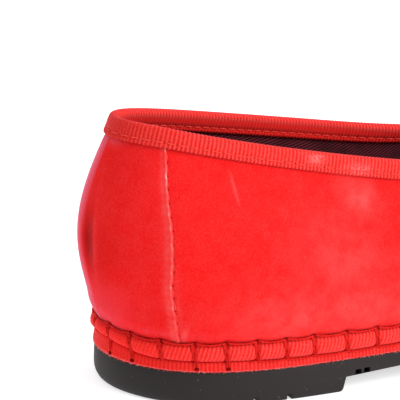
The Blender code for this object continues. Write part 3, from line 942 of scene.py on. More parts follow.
def make_velvet(sizes, colours):
    """Outer velvet of the upper, with its seams, creases and worn places, its painted shade and
    painted sheen.
    """
    counter = COUNTER_SEAM[4][1] * PERIMETER
    crease = (CREASES[0][0] + CREASES[0][2]) / 2.0 * PERIMETER
    shares = spread_shares(VELVET_COLUMNS, (0.0, counter, -counter, crease), 3.6, 0.005)
    curves = upper_profiles(shares)
    lengths = wall_lengths(curves)
    rows = np.concatenate([np.linspace(0.0, 0.10, VELVET_TAPE_ROWS)[:-1],
                           np.linspace(0.10, 0.997, VELVET_ROWS), [1.0]])
    outer = read_profiles(curves, lengths[:, None] * rows[None, :])
    normal = face_normals(outer)
    share = shares[:, None]
    down = rows[None, :]
    length = lengths[:, None]
    away = from_back(share)
    from_foot = (1.0 - down) * length
    from_top = down * length
    pocket = mark(down, BACK_POCKET)
    deep_middle = 0.10 + 0.90 * pocket
    valley_width = sizes.back_seam_width * np.where(away > 0.0, 1.7, 1.0)
    back_valley = bell(away, valley_width) * deep_middle
    to_counter = np.abs(away) - counter_places(down)
    stitch_away, _ = to_stitch(share)
    relief = (-sizes.back_seam_depth * back_valley
              + mark(away, BACK_RIDGE) * deep_middle + mark(away, BACK_LOBE, down)
              + mark(to_counter, COUNTER_VALLEY) + mark(to_counter, COUNTER_RIDGE)
              + mark(from_foot, FOOT_LINE) + mark(from_foot, FOOT_SWELL)
              + mark(stitch_away, STITCH_DENT) * bell(from_foot, 0.0026)
              + mark(from_top, TAPE_LINE) + crease_height(share, down, length))
    waves = np.array([[noise.noise(Vector(p) * 26.0) for p in row] for row in outer[:, ::4]])
    at = np.arange(outer.shape[1])
    waves = np.array([np.interp(at, at[::4], row) for row in waves])
    relief = relief + sizes.cloth_wave * waves
    relief = relief * ease(from_top, BINDING_DEPTH * 0.5, BINDING_DEPTH * 1.3)
    relief = np.maximum(relief, 0.0001 - VELVET)
    skin = outer + normal * relief[:, :, None]
    back_rows = np.linspace(0.0, 1.0, 12)
    inner = read_profiles(curves, lengths[:, None] * back_rows[None, :])
    inner = (inner - face_normals(inner) * VELVET)[:, ::-1]
    grid = np.concatenate([skin, inner], axis=1)
    across = length * np.concatenate([rows, 1.0 + back_rows])
    mesh = ring_mesh("velvet_upper", grid, shares * PERIMETER, across)
    ragged = 0.76 + 0.24 * np.sin(from_top / 0.00051) * np.sin(from_top / 0.00113 + 1.0)
    line = np.minimum(ragged * (0.74 + 0.80 * bell(down - 0.15, 0.10)), 1.0)
    sway = 0.00013 * np.sin(from_top / sizes.counter_stitch * 2.0 * math.pi)
    crease_line = crease_height(share, down, length, CREASES[:1]) / CREASES[0][5]
    # Pale pile: worn at the seams, the crease and the listed places, and the painted highlight and
    # sheen of the first two places
    rubbed = strongest(
        pile_rub_and_sheen(share, down),
        line * mark(to_counter + sway, COUNTER_FRAY),
        ragged * mark(to_counter, COUNTER_RUB),
        ragged * mark(to_counter, COUNTER_FRONT_RUB) * ease(down, 0.5, 0.9),
        mark(np.abs(away), BACK_RUB) * deep_middle,
        CREASE_RUB * crease_line)
    from_valley = np.where(away > 0.0, np.maximum(away - 0.0010, 0.0) * 1.2, away)
    # Painted shade: darker pile in the back seam's pocket and beside it, in the counter seam, in
    # the crevice at the foot, in the stitch dents and under the tape's edge
    pressed = strongest(
        mark(to_counter, COUNTER_SHADE),
        mark(from_valley, BACK_POCKET_SHADE) * pocket,
        mark(away, BACK_SIDE_SHADE, down),
        mark(from_foot, FOOT_SHADE),
        mark(stitch_away, STITCH_SHADE) * bell(from_foot, 0.0008),
        mark(from_top, TAPE_EDGE_SHADOW))
    # Painted sheen: a pale pink-violet band just inside the back seam and pink marks beside it; the
    # tufts along the foot are pale fuzz
    turned = ease(-away - 0.0008 * pocket, 0.0002, 0.0018) * (1.0 - ease(-away, 0.0045, 0.0095))
    tufts = 0.6 + 0.4 * np.sin(share * PERIMETER / 0.0006) * np.sin(share * PERIMETER / 0.0017)
    bloom = strongest(
        0.85 * turned,
        mark(away, BACK_SHEEN) * ease(down, 0.68, 0.97),
        mark(away, BACK_TOP_SHEEN, down),
        tufts * mark(from_foot, FOOT_TUFTS) * bell(share - 0.028, 0.034))
    set_attributes(mesh, grid.shape[1], rubbed=rubbed, pressed=pressed, bloom=bloom)
    item = show("velvet_upper", mesh, velvet_material(colours))
    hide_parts("upper")


def make_lining(colours):
    """Twill lining on the inner face of the upper, open at the collar and underneath."""
    shares = np.arange(LINING_COLUMNS) / LINING_COLUMNS
    curves = upper_profiles(shares)
    lengths = wall_lengths(curves)
    rows = np.linspace(0.0, 1.0, LINING_ROWS)
    face = read_profiles(curves, lengths[:, None] * rows[None, :])
    normal = face_normals(face)
    inner = face - normal * WALL
    outer = face - normal * WALL * LINING_START
    grid = np.concatenate([outer[:, ::3], inner[:, ::-1]], axis=1)
    across = lengths[:, None] * np.concatenate([rows[::3], rows[::-1]])
    mesh = ring_mesh("twill_lining", grid, shares * PERIMETER, across)
    item = show("twill_lining", mesh, lining_material(colours))
    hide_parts("upper")


def topline_table():
    """Shares round the shoe against the distance along the topline."""
    shares = np.arange(2401) / 2400
    return shares, way_along(upper_profiles(shares)[:, -1])


def along_topline(distances):
    """Shares round the shoe at distances along the topline from the back seam."""
    shares, way = topline_table()
    return np.interp(np.asarray(distances, float) % way[-1], way, shares)


def topline_length():
    """Length of the topline."""
    return topline_table()[1][-1]


def squared_up(points):
    """Slides each row of points along itself until every section stands square to the last row."""
    along = slope_round(points[:, -1])
    step = np.linalg.norm(along, axis=1) / 2.0
    along /= 2.0 * step[:, None]
    offset = np.einsum("ijk,ik->ij", points - points[:, -1:], along)
    count = len(points)
    at = np.arange(count)
    square = points.copy()
    for k in range(points.shape[1] - 1):
        place = at - offset[:, k] / step
        for axis in range(3):
            square[:, k, axis] = np.interp(place, at, points[:, k, axis], period=count)
    return square


def make_tape(sizes, colours):
    """Grosgrain tape folded over the topline, with a rib for each turn of its cord."""
    total = topline_length()
    ribs = round(total / sizes.rib_pitch)
    count = ribs * TAPE_RIB_POINTS
    way = np.arange(count) / count * total
    shares = along_topline(way)
    curves = upper_profiles(shares)
    down = np.concatenate([np.linspace(BINDING_DEPTH, BINDING_DEPTH * 0.6, 6)[:-1],
                           np.linspace(BINDING_DEPTH * 0.6, 0.0, 6)])
    outer = read_profiles(curves, np.tile(down[::-1], (count, 1)))[:, ::-1]
    outer = squared_up(outer)
    normal = face_normals(outer[:, ::-1])[:, ::-1]
    last = len(down) - 1
    lift = unit(outer[:, -1] - outer[:, -2])
    crest = 0.5 + 0.5 * np.cos(2.0 * math.pi * way * ribs / total)
    flat_end = bell(np.minimum(way, total - way), 0.0085)
    swell = np.sqrt(np.clip(crest, 0.0, 1.0)) * sizes.rib_height * (1.0 - 0.7 * flat_end)
    stitch_down = BINDING_DEPTH * sizes.tape_stitch_share
    press = sizes.stitch_press * bell(down - stitch_down, 0.0006)
    edge = 0.00020 * bell(down - BINDING_DEPTH, 0.0004) + 0.00025 * ease(down, 0.001, BINDING_DEPTH)
    body = GAP + TAPE - sizes.rib_height - press - edge
    fuller = 1.0 + 0.6 * ease(down, stitch_down, stitch_down + 0.0006)
    stand = body[None, :, None] + swell[:, None, None] * fuller[None, :, None]
    drop = unit(outer[:, 0] - outer[:, 1])
    scallop = np.zeros(outer.shape)
    scallop[:, 0] = drop * (crest[:, None] - 0.5) * sizes.scallop
    face = outer + scallop + normal * stand
    inside = outer + scallop - normal * WALL - normal * stand
    inside[:, 0] += drop * 0.0004
    middle = outer[:, -1] - normal[:, -1] * WALL / 2.0
    turns = np.linspace(0.0, math.pi, 9)[1:-1]
    wide = (WALL / 2.0 + GAP + TAPE - sizes.rib_height + swell)[:, None, None]
    tall = (GAP + TAPE + FOLD_ROUND - sizes.rib_height + swell)[:, None, None]
    crown = (middle[:, None] + normal[:, -1:] * wide * np.cos(turns)[None, :, None]
             + lift[:, None] * tall * np.sin(turns)[None, :, None])
    pick = [0, last // 2, last]
    seat_out = outer[:, pick] + normal[:, pick] * GAP * 0.7
    seat_in = outer[:, pick] - normal[:, pick] * (WALL + GAP * 0.7)
    seat_top = middle[:, None] + lift[:, None] * GAP
    grid = np.concatenate([face, crown, inside[:, ::-1], seat_in, seat_top, seat_out[:, ::-1]],
                          axis=1)
    size = grid.shape[1]
    mesh = ring_mesh("collar_tape", grid, way, np.arange(size) * BINDING_DEPTH / last)
    # Painted shade between the ribs and towards the tape's ends at the back seam
    rib = np.repeat((crest * (1.0 - 0.8 * flat_end))[:, None], size, axis=1)
    within = slice(last + 8, 2 * last + 9)
    depth = down[::-1] / BINDING_DEPTH
    # Inner face: painted light on its upper and lower parts and painted shade in a band between
    painted_light = 0.40 * (1.0 - ease(depth, 0.42, 0.56)) + 0.30 * ease(depth, 0.72, 0.85)
    rib[:, within] = (rib[:, within] + painted_light) * (1.0 - 0.85 * bell(depth - 0.58, 0.12))
    # Painted reflected light: redder inner face, less in the band of painted shade
    inward = np.zeros((count, size))
    inward[:, within] = 0.8 * ease(depth, 0.02, 0.20) * (1.0 - bell(depth - 0.58, 0.13))
    worn = np.zeros((count, size))
    for place, wide_by, at, strength in WORN_TAPE:
        patch = strength * bell(way - place, wide_by)[:, None]
        across = np.zeros(size)
        across[:last + 1] = bell(down / BINDING_DEPTH - at, 0.32)
        worn = np.maximum(worn, patch * across[None, :])
    set_attributes(mesh, size, rib=rib, worn=worn, inward=inward)
    item = show("collar_tape", mesh, grosgrain_material(colours, "red_grosgrain"))
    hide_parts("collar_binding")


def stitch_path(points, normals, radius):
    """Path of one stitch laid over a surface: up out of one hole and down into the next."""
    t = np.linspace(0.0, 1.0, 7)[:, None]
    spots = np.linspace(0.0, 1.0, len(points))
    rise = radius * (1.5 * np.sin(t * math.pi) ** 0.5 - 0.9)
    return read_line(t[:, 0], spots, points) + read_line(t[:, 0], spots, normals) * rise


def make_tape_stitches(sizes, colours):
    """Stitch rows of the collar tape, outside and inside, with their needle holes."""
    total = topline_length()
    count = round(total / sizes.tape_stitch)
    down = BINDING_DEPTH * sizes.tape_stitch_share
    threads = Bundle()
    holes = Bundle()
    part = np.linspace(0.0, sizes.stitch_fill, 4)
    way = ((np.arange(count)[:, None] + part[None, :]) / count * total).ravel()
    shares = along_topline(way)
    order = np.argsort(shares)
    curves = upper_profiles(shares[order])
    rows = read_profiles(curves, np.tile((down - 0.0005, down, down + 0.0005), (len(way), 1)))
    normal = face_normals(rows)[:, 1]
    spots = np.empty_like(rows[:, 1])
    outs = np.empty_like(normal)
    spots[order] = rows[:, 1]
    outs[order] = normal
    level = GAP + TAPE - sizes.rib_height * 0.4 - sizes.stitch_press - 0.00014
    radius = sizes.sewing_thread / 2.0
    for i in range(count):
        pick = slice(i * 4, i * 4 + 4)
        for lift, turn in ((level, 1.0), (-WALL - level, -1.0)):
            base = spots[pick] + outs[pick] * lift
            path = stitch_path(base, outs[pick] * turn, radius)
            threads.tube(path, radius * taper(len(path)), 6)
            for end, step in ((0, -1.0), (-1, 1.0)):
                centre = base[end] + unit(base[-1] - base[0]) * step * radius * 0.9
                pin = outs[pick][end] * turn * radius
                holes.tube([centre - pin, centre], radius * 0.5, 6)
    thread = thread_material(colours.seam_thread, "pale_thread")
    sewn("collar_stitches", threads, thread, "collar_needle_holes", holes,
         colours)


def velvet_point(away, from_top):
    """Points and normals of the upper's outer face at distances from the back seam and topline."""
    shares = (np.asarray(away, float) / PERIMETER) % 1.0
    step = 0.0004 / PERIMETER
    trio = []
    for shift in (-step, 0.0, step):
        curves = upper_profiles(shares + shift)
        near = np.stack([from_top - 0.0004, from_top, from_top + 0.0004], axis=1)
        trio.append(read_profiles(curves, near))
    around = trio[2][:, 1] - trio[0][:, 1]
    down = trio[1][:, 2] - trio[1][:, 0]
    return trio[1][:, 1], unit(np.cross(down, around))


def make_seam_stitches(sizes, colours):
    """Stitches of the heel counter's seam on both sides of the shoe."""
    threads = Bundle()
    holes = Bundle()
    radius = sizes.sewing_thread * 0.42
    for side in (1.0, -1.0):
        curve = upper_profiles(np.array([COUNTER_SEAM[4][1]]))
        length = wall_lengths(curve)[0]
        first = BINDING_DEPTH + 0.0012
        count = int((length - first - 0.0015) / sizes.counter_stitch)
        for i in range(count):
            start = first + i * sizes.counter_stitch
            way = start + np.linspace(0.0, 0.72, 4) * sizes.counter_stitch
            away = side * (counter_places(way / length) + 0.0001)
            spots, outs = velvet_point(away, way)
            base = spots - outs * 0.00030
            path = stitch_path(base, outs, radius)
            threads.tube(path, radius * taper(len(path)), 6)
            centre = base[-1] + unit(base[-1] - base[0]) * radius
            pin = outs[-1] * 0.0004
            holes.tube([centre - pin, centre + pin * 0.75], sizes.needle_hole / 2.0, 7)
    thread = thread_material(colours.seam_thread, "pale_thread")
    sewn("counter_stitches", threads, thread, "counter_needle_holes", holes,
         colours)


def band_face(share, up, outward=0.0):
    """Point on the stitched band's outer face: up is 0 at its lower seam and 1 at the feather."""
    plan = on_outline(share, outward)
    low = lower_edge(share, plan[:, 0])
    high = upper_edge(share, plan[:, 0])
    return np.column_stack([plan, low + (high - low) * up])


def band_bulge(share, up):
    """How far the padded band stands out of the outline, drawn in at each stitch."""
    away, part = to_stitch(share)
    puff = np.sin(np.clip(part, 0.0, 1.0) * math.pi) ** 0.4
    round_side = np.clip(1.0 - np.abs(2.0 * up - 1.0) ** 3.2, 0.0, 1.0)
    bulge = BAND_PROUD + BAND_PUFF * 1.15 * puff * round_side
    pinch = 0.00055 * bell(away, STITCH_PINCH)
    return bulge - pinch - 0.0007 * (1.0 - round_side)


def make_band(sizes, colours):
    """Padded grosgrain band round the feather, its ribs slightly slanted."""
    ribs = round(PERIMETER / sizes.rib_pitch)
    count = ribs * BAND_RIB_POINTS
    shares = np.arange(count) / count
    ups = np.linspace(0.0, 1.0, BAND_ROWS)
    columns = []
    crests = []
    for up in ups:
        phase = 2.0 * math.pi * (shares * ribs + (up - 0.5) * sizes.rib_slant)
        crest = 0.5 + 0.5 * np.cos(phase)
        out = band_bulge(shares, up) + np.sqrt(crest) * sizes.rib_height * 0.55
        squeeze = BAND_FOOT + 0.93 * up
        columns.append(band_face(shares, squeeze, out))
        crests.append(crest)
    root = BAND_PROUD - BAND_DEPTH
    for up in (0.97, 0.5, BAND_FOOT):
        columns.append(band_face(shares, up, root))
        crests.append(np.zeros(count))
    grid = np.stack(columns, axis=1)
    size = grid.shape[1]
    mesh = ring_mesh("stitched_band", grid, shares * PERIMETER,
                     np.arange(size) * BAND_HEIGHT / (BAND_ROWS - 1.0))
    away, _ = to_stitch(shares)
    # Painted shade: the ribs' tone is darker at each stitch's pinch and near the back seam
    shade = (1.0 - 0.85 * bell(away, STITCH_PINCH)) * (1.0 - 0.75 * bell(from_back(shares), 0.018))
    set_attributes(mesh, size, rib=np.stack(crests, axis=1) * shade[:, None],
                   # inward paints reflected red light, strongest near the back seam
                   worn=np.full(count, 0.03), inward=0.10 + 0.50 * bell(from_back(shares), 0.030))
    material = grosgrain_material(colours, "red_band_grosgrain", 1.04)
    item = show("stitched_band", mesh, material)
    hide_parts("welt_band")


def make_wrap(sizes, colours):
    """Lower ribbon wrapped round the midsole, scalloped where its cords end at the rubber."""
    count = round(PERIMETER / sizes.rib_pitch) * BAND_RIB_POINTS
    shares = np.arange(count) / count
    crest = 0.5 + 0.5 * np.cos(2.0 * math.pi * np.arange(count) / BAND_RIB_POINTS)
    swell = np.sqrt(crest) * sizes.rib_height * 0.6
    ups = np.array((0.0, 0.06, 0.20, 0.45, 0.75, 0.94, 1.0, 1.0, 0.0))
    stand = np.array((-0.0003, 0.00015, 0.00022, 0.00010, -0.00005, -0.0002, -0.0006, -0.0015,
                      -0.0015))
    rows = []
    for up, out in zip(ups, stand):
        fuller = 1.0 + 0.5 * bell(up - 0.12, 0.15)
        plan = on_outline(shares, out + swell * fuller * (out > -0.0010))
        low = outsole_top(plan[:, 0]) + GAP * 0.2
        high = lower_edge(shares, plan[:, 0])
        edge = np.clip(sizes.scallop * (crest - 0.5) * bell(up, 0.08), None, GAP * 0.1)
        rows.append(np.column_stack([plan, low + (high - low) * up - edge]))
    grid = np.stack(rows, axis=1)
    size = grid.shape[1]
    mesh = ring_mesh("midsole_wrap", grid, shares * PERIMETER,
                     np.arange(size) * MIDSOLE_HEIGHT / 6.0)
    # Painted shade: darker between the ribs and near the back seam
    set_attributes(mesh, size, rib=crest * (1.0 - 0.6 * bell(from_back(shares), 0.018)),
                   worn=np.full((count, 2), 0.7),
                   # inward paints reflected red light, strongest near the back seam
                   inward=0.35 + 0.35 * bell(from_back(shares), 0.030))
    material = grosgrain_material(colours, "red_wrap_grosgrain", 0.87)
    item = show("midsole_wrap", mesh, material)
    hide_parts("midsole")


def make_frayed_edge(sizes, colours):
    """Short pale hairs where the wrap's cut edge meets the rubber."""
    chance = np.random.default_rng(HAIR_SEED)
    hairs = Bundle()
    count = int(PERIMETER / sizes.hair_spacing)
    shares = (np.arange(count) + chance.uniform(-0.4, 0.4, count)) / count
    size = chance.uniform(0.35, 1.0, count) * sizes.hair_length
    lean = chance.normal(0.0, 0.8, count)
    out = chance.uniform(0.0001, 0.0004, count)
    curl = chance.uniform(-0.3, 0.6, count)
    for k in range(count):
        t = np.linspace(0.0, 1.0, 4)
        share = shares[k] + size[k] * t * math.sin(lean[k]) / PERIMETER
        plan = on_outline(share, out[k] + size[k] * curl[k] * t ** 2)
        level = outsole_top(plan[:, 0]) + 0.0003 - size[k] * t * math.cos(lean[k]) * 0.8
        hairs.tube(np.column_stack([plan, level]), sizes.hair_thickness / 2.0 * taper(4, 0.5), 3)
    show("frayed_edge", hairs.mesh("frayed_edge"), hair_material(colours))


def sole_places(stations):
    """Places along the sole: close together at both ends and round the heel breast's corner."""
    turn = np.arange(stations + 1) * math.pi / stations
    places = list(LENGTH * (1.0 - np.cos(turn)) / 2.0)
    fixed = [HEEL_LENGTH - BREAST_ROUND * share for share in (1.0, 0.7, 0.45, 0.25, 0.1, 0.02)]
    fixed += [HEEL_LENGTH, HEEL_LENGTH + BREAST_SLOPE]
    places = [x for x in places if all(abs(x - other) > 0.0004 for other in fixed)]
    return sorted(places + fixed)


def layered_slab(name, layers, stations, columns=1, dish=None):
    """Closed slab on the sole's outline: each layer has an outward shift and a height by x."""
    places = sole_places(stations)
    last = len(places) - 1
    shares = [share_at(x, -1) for x in places] + [share_at(x, 1) for x in places[1:-1]][::-1]
    count = len(shares)
    base = on_outline(shares)
    points = []
    for shift, height in layers:
        plan = on_outline(shares, shift(base[:, 0]))
        points += [(x, y, z) for (x, y), z in zip(plan, height(plan[:, 0]))]
    faces = []
    for row in range(len(layers) - 1):
        for i in range(count):
            j = (i + 1) % count
            faces.append((row * count + i, row * count + j,
                          (row + 1) * count + j, (row + 1) * count + i))
    for row, split in ((0, 1), (len(layers) - 1, columns)):
        start = row * count
        lines = [[start]]
        for i in range(1, last):
            near = start + i
            far = start + count - i
            line = [near]
            for k in range(1, split):
                t = k / split
                spot = [points[near][a] * (1.0 - t) + points[far][a] * t for a in range(3)]
                if dish is not None:
                    spot[2] -= dish(spot[0], t)
                line.append(len(points))
                points.append(tuple(spot))
            lines.append(line + [far])
        lines.append([start + last])
        for low, high in zip(lines[:-1], lines[1:]):
            for k in range(split):
                a = low[min(k, len(low) - 1)]
                b = low[min(k + 1, len(low) - 1)]
                c = high[min(k + 1, len(high) - 1)]
                d = high[min(k, len(high) - 1)]
                loop = list(dict.fromkeys((a, b, c, d)))
                if len(loop) > 2:
                    faces.append(tuple(loop))
    flat = np.array(points)
    uv = [flat[i][:2] for face in faces for i in face]
    return mesh_from(name, flat, faces, uv, smooth=False)


def constant(value):
    """A function of x that gives one value everywhere."""
    return lambda x: np.full(np.shape(x), float(value))


def make_core():
    """Foam platform inside the ribbon and the band."""
    inside = BAND_PROUD - BAND_DEPTH - CORE_CLEARANCE
    layers = (
        (constant(-0.0016), lambda x: outsole_top(x) + GAP),
        (constant(-0.0016), midsole_top),
        (constant(inside), midsole_top),
        (constant(inside), band_top),
    )
    mesh = layered_slab("midsole_core", layers, CORE_STATIONS)
    item = show("midsole_core", mesh, core_material())
    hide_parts("midsole")


def make_footbed(sizes, colours):
    """Lining-covered footbed, slightly dished under heel and forefoot."""
    edge = FEATHER_PROUD - WALL - INSOLE_CLEARANCE
    bottom = GAP
    roll = 0.0008

    def at_height(rise):
        return lambda x: band_top(x) + bottom + rise

    layers = (
        (constant(edge - roll), at_height(0.0)),
        (constant(edge), at_height(roll * 0.6)),
        (constant(edge), at_height(INSOLE_THICKNESS - roll)),
        (constant(edge - roll * 0.35), at_height(INSOLE_THICKNESS - roll * 0.3)),
        (constant(edge - roll * 1.2), at_height(INSOLE_THICKNESS)),
    )

    def dish(x, t):
        deep = sizes.footbed_dish * (0.6 + 0.4 * math.cos(2.0 * math.pi * x / (LENGTH * 0.8)))
        return deep * (1.0 - (2.0 * t - 1.0) ** 4)

    mesh = layered_slab("footbed", layers, FOOTBED_STATIONS, FOOTBED_COLUMNS, dish)
    mesh.shade_smooth()
    item = show("footbed", mesh, lining_material(colours, "maroon_footbed"))
    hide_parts("insole")


def groove_paths():
    """Main tread grooves as lists of (x, y): those across the sole and those along it."""
    steps = np.linspace(-GROOVE_REACH, GROOVE_REACH, 25)
    places = [HEEL_LENGTH * share for share in HEEL_GROOVES]
    first = HEEL_LENGTH + WAIST_LENGTH + TREAD_PITCH / 2.0
    count = int((LENGTH - first) / TREAD_PITCH)
    places += [first + i * TREAD_PITCH for i in range(count)]
    crossing = []
    for place in places:
        bow = GROOVE_BOW * (1.0 - (steps / GROOVE_REACH) ** 2)
        crossing.append(list(zip(place + bow, steps * BALL_WIDTH)))
    for place in WAIST_GROOVES:
        inner = steps * 0.5
        bow = GROOVE_BOW * (1.0 - (inner / GROOVE_REACH) ** 2)
        crossing.append(list(zip(HEEL_LENGTH + place + bow, inner * BALL_WIDTH)))
    spans = [(a, HEEL_LENGTH + WAIST_LENGTH, LENGTH - TREAD_PITCH) for a in LONG_GROOVES]
    spans += [(a, HEEL_LENGTH * HEEL_GROOVES[0], HEEL_LENGTH + BREAST_SLOPE)
              for a in HEEL_LONG_GROOVES]
    lengthwise = []
    for across, start, end in spans:
        along = np.linspace(start, end, 41)
        wave = LONG_GROOVE_WAVE * np.sin((along - start) / (end - start) * 2.0 * math.pi)
        lengthwise.append(list(zip(along, across * BALL_WIDTH + wave)))
    return crossing, lengthwise


def waist_recesses():
    """Short paths of (x, y) where the waist's grooves end as recesses in the sole's side."""
    paths = []
    for place in WAIST_GROOVES:
        x = HEEL_LENGTH + place + GROOVE_BOW * 0.76
        for side in (-1, 1):
            edge = on_outline([share_at(x, side)])[0, 1]
            paths.append([(x, edge - side * 0.006), (x, edge + side * 0.002)])
    return paths


def groove_cutter(name, paths, width, depth, start_depth=None):
    """Cutter of bars along paths of (x, y), from under the tread to its depth."""
    low = -depth if start_depth is None else start_depth
    points = []
    faces = []
    for path in paths:
        path = np.asarray(path, float)
        along = unit(np.gradient(path, axis=0))
        side = np.column_stack([-along[:, 1], along[:, 0]]) * width / 2.0
        under = outsole_under(path[:, 0])
        start = len(points)
        for (x, y), (dx, dy), z in zip(path, side, under):
            points += [(x - dx, y - dy, z + low), (x + dx, y + dy, z + low),
                       (x + dx * 0.8, y + dy * 0.8, z + depth),
                       (x - dx * 0.8, y - dy * 0.8, z + depth)]
        faces.append((start, start + 1, start + 2, start + 3))
        for i in range(len(path) - 1):
            a = start + i * 4
            for k in range(4):
                m = (k + 1) % 4
                faces.append((a + k, a + m, a + 4 + m, a + 4 + k))
        end = start + (len(path) - 1) * 4
        faces.append((end + 3, end + 2, end + 1, end))
    mesh = mesh_from(name, points, faces, smooth=False)
    item = bpy.data.objects.new(name, mesh)
    bpy.context.scene.collection.objects.link(item)
    return item


def cut_with(item, cutter):
    """Cuts one object's shape out of a piece for good and removes the cutter."""
    cut = item.modifiers.new(cutter.name, "BOOLEAN")
    cut.operation = "DIFFERENCE"
    cut.solver = "EXACT"
    cut.object = cutter
    graph = bpy.context.evaluated_depsgraph_get()
    mesh = bpy.data.meshes.new_from_object(item.evaluated_get(graph))
    item.modifiers.clear()
    old = item.data
    item.data = mesh
    bpy.data.meshes.remove(old)
    bpy.data.objects.remove(cutter)


def make_outsole(colours):
    """Black rubber unit: rounded edges, heel breast and the main tread grooves."""
    def back(x):
        return 1.0 - ease(x, 0.0, BACK_BEVEL_LENGTH)

    def depth(x):
        return EDGE_BEVEL + (HEEL_BEVEL_DEPTH - EDGE_BEVEL) * back(x)

    def height(x):
        return EDGE_BEVEL + (HEEL_BEVEL_HEIGHT - EDGE_BEVEL) * back(x)

    layers = []
    for turn in np.linspace(0.0, math.pi / 2.0, 6):
        inward = 1.0 - math.sin(turn)
        rise = 1.0 - math.cos(turn)
        layers.append((lambda x, s=inward: -depth(x) * s,
                       lambda x, s=rise: outsole_under(x) + height(x) * s))
    lip = 0.0004
    layers.append((constant(0.0), lambda x: outsole_top(x) - lip))
    layers.append((constant(-lip * 0.3), lambda x: outsole_top(x) - lip * 0.3))
    layers.append((constant(-lip), outsole_top))
    mesh = layered_slab("rubber_outsole", layers, OUTSOLE_STATIONS)
    item = show("rubber_outsole", mesh, rubber_material(colours))
    crossing, lengthwise = groove_paths()
    cut_with(item, groove_cutter("crossing_grooves", crossing, GROOVE_WIDTH, GROOVE_DEPTH))
    cut_with(item, groove_cutter("lengthwise_grooves", lengthwise, GROOVE_WIDTH, GROOVE_DEPTH))
    cut_with(item, groove_cutter("waist_recesses", waist_recesses(), GROOVE_WIDTH * 1.15,
                                 GROOVE_DEPTH, 0.0003))
    item.data.shade_smooth()
    item.data.set_sharp_from_angle(angle=math.radians(32))
    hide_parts("outsole")


def make_straw(sizes, colours):
    """Short plant fibres lodged in the tread's grooves."""
    chance = np.random.default_rng(STRAW_SEED)
    crossing, lengthwise = groove_paths()
    fibres = Bundle()
    for path in crossing + lengthwise:
        path = np.asarray(path)
        way = way_along(path)
        for _ in range(int(way[-1] / sizes.straw_spacing)):
            at = chance.uniform(0.0, way[-1])
            size = chance.uniform(0.0025, 0.0075)
            lean = chance.normal(0.0, 0.35)
            spot, ahead = read_line([at, at + 0.001], way, path)
            ahead = ahead - spot
            turn = math.atan2(ahead[1], ahead[0]) + lean
            half = abs(np.interp(spot[0], OUTLINE_POINTS[:TOE_INDEX, 0],
                                 OUTLINE_POINTS[:TOE_INDEX, 1]))
            if abs(spot[1]) > half - 0.007:
                continue
            t = np.linspace(-0.5, 0.5, 5)
            bend = chance.uniform(-0.12, 0.12)
            x = spot[0] + size * (t * math.cos(turn) - bend * t ** 2 * math.sin(turn))
            y = spot[1] + size * (t * math.sin(turn) + bend * t ** 2 * math.cos(turn))
            z = outsole_under(x) + chance.uniform(0.0004, 0.0009)
            thick = chance.uniform(0.00022, 0.00042)
            fibres.tube(np.column_stack([x, y, z]), thick * taper(5, 0.5), 5)
    show("straw_flecks", fibres.mesh("straw_flecks"), straw_material(colours))


def make_blanket_stitches(sizes, colours):
    """Blanket stitches: three strands over the band at each, some on across the wrap."""
    threads = Bundle()
    holes = Bundle()
    radius = sizes.blanket_thread / 2.0
    for index in range(STITCHES):
        centre = float(stitch_share(index))
        for strand in (-1.0, 0.0, 1.0):
            path = []
            for up in np.linspace(STITCH_TOP, STITCH_FOOT, 13):
                spread = strand * radius * 1.5 * (0.55 + 0.45 * math.cos((up - 0.35) * 1.6))
                shift = (sizes.stitch_lean * (0.5 - up) + spread) / PERIMETER
                share = np.array([centre + shift])
                inside = min(max(up, 0.0), 1.0)
                out = float(band_bulge(share, inside)[0]) + radius * (1.25 - 0.25 * abs(strand))
                out = max(out, FEATHER_PROUD) if up > 0.9 else out
                out -= 0.0009 * float(ease(up, 0.98, STITCH_TOP))
                out -= 0.0006 * float(ease(-up, 0.0, -STITCH_FOOT))
                path.append(band_face(share, up, out)[0])
            threads.tube(np.array(path), radius, 8)
        spots = centre + np.linspace(-1.0, 0.7, 6) * sizes.thread_hole / PERIMETER
        mouth = band_face(spots, 1.10, FEATHER_PROUD - 0.0002)
        holes.tube(mouth, radius * 1.1 * taper(6, 0.3), 7)
        if index in LONG_STITCHES:
            long_stitch(threads, holes, sizes, centre)
    floss = thread_material(colours.thread, "red_floss", 0.86)
    sewn("blanket_stitches", threads, floss, "band_needle_holes", holes,
         colours)


def long_stitch(threads, holes, sizes, centre):
    """Two strands of one stitch that run on across the wrap to a hole near the rubber."""
    radius = sizes.blanket_thread * 0.42
    reach = np.linspace(-0.12, 1.0, 9)
    middle = centre + sizes.stitch_lean * (0.5 + 0.25 * reach) / PERIMETER
    for strand in (-1.0, 1.0):
        share = middle + strand * radius * 1.25 / PERIMETER
        plan = on_outline(share, radius * 0.5 + sizes.rib_height - 0.0007 * reach ** 8)
        low = outsole_top(plan[:, 0]) + MIDSOLE_HEIGHT * 0.42
        high = lower_edge(share, plan[:, 0])
        threads.tube(np.column_stack([plan, high + (low - high) * reach]), radius, 8)
    wide = middle[-1] + np.linspace(-1.0, 1.0, 6) * sizes.thread_hole * 0.8 / PERIMETER
    plan = on_outline(wide, sizes.rib_height - 0.0001)
    level = outsole_top(plan[:, 0]) + MIDSOLE_HEIGHT * 0.36
    holes.tube(np.column_stack([plan, level]), radius * 2.6 * taper(6, 0.3), 8)


def twisted(centre, outs, radius, pitch):
    """Two paths that wind round a closed centre line."""
    way = np.concatenate([[0.0], np.cumsum(steps_round(centre))[:-1]])
    total = way[-1] + np.linalg.norm(centre[0] - centre[-1])
    turns = round(total / pitch)
    angle = way / total * turns * 2.0 * math.pi
    side = np.cross(unit(slope_round(centre)), outs)
    paths = []
    for start in (0.0, math.pi):
        swing = np.cos(angle + start)[:, None] * outs + np.sin(angle + start)[:, None] * side
        paths.append(centre + swing * radius * 0.85)
    return paths


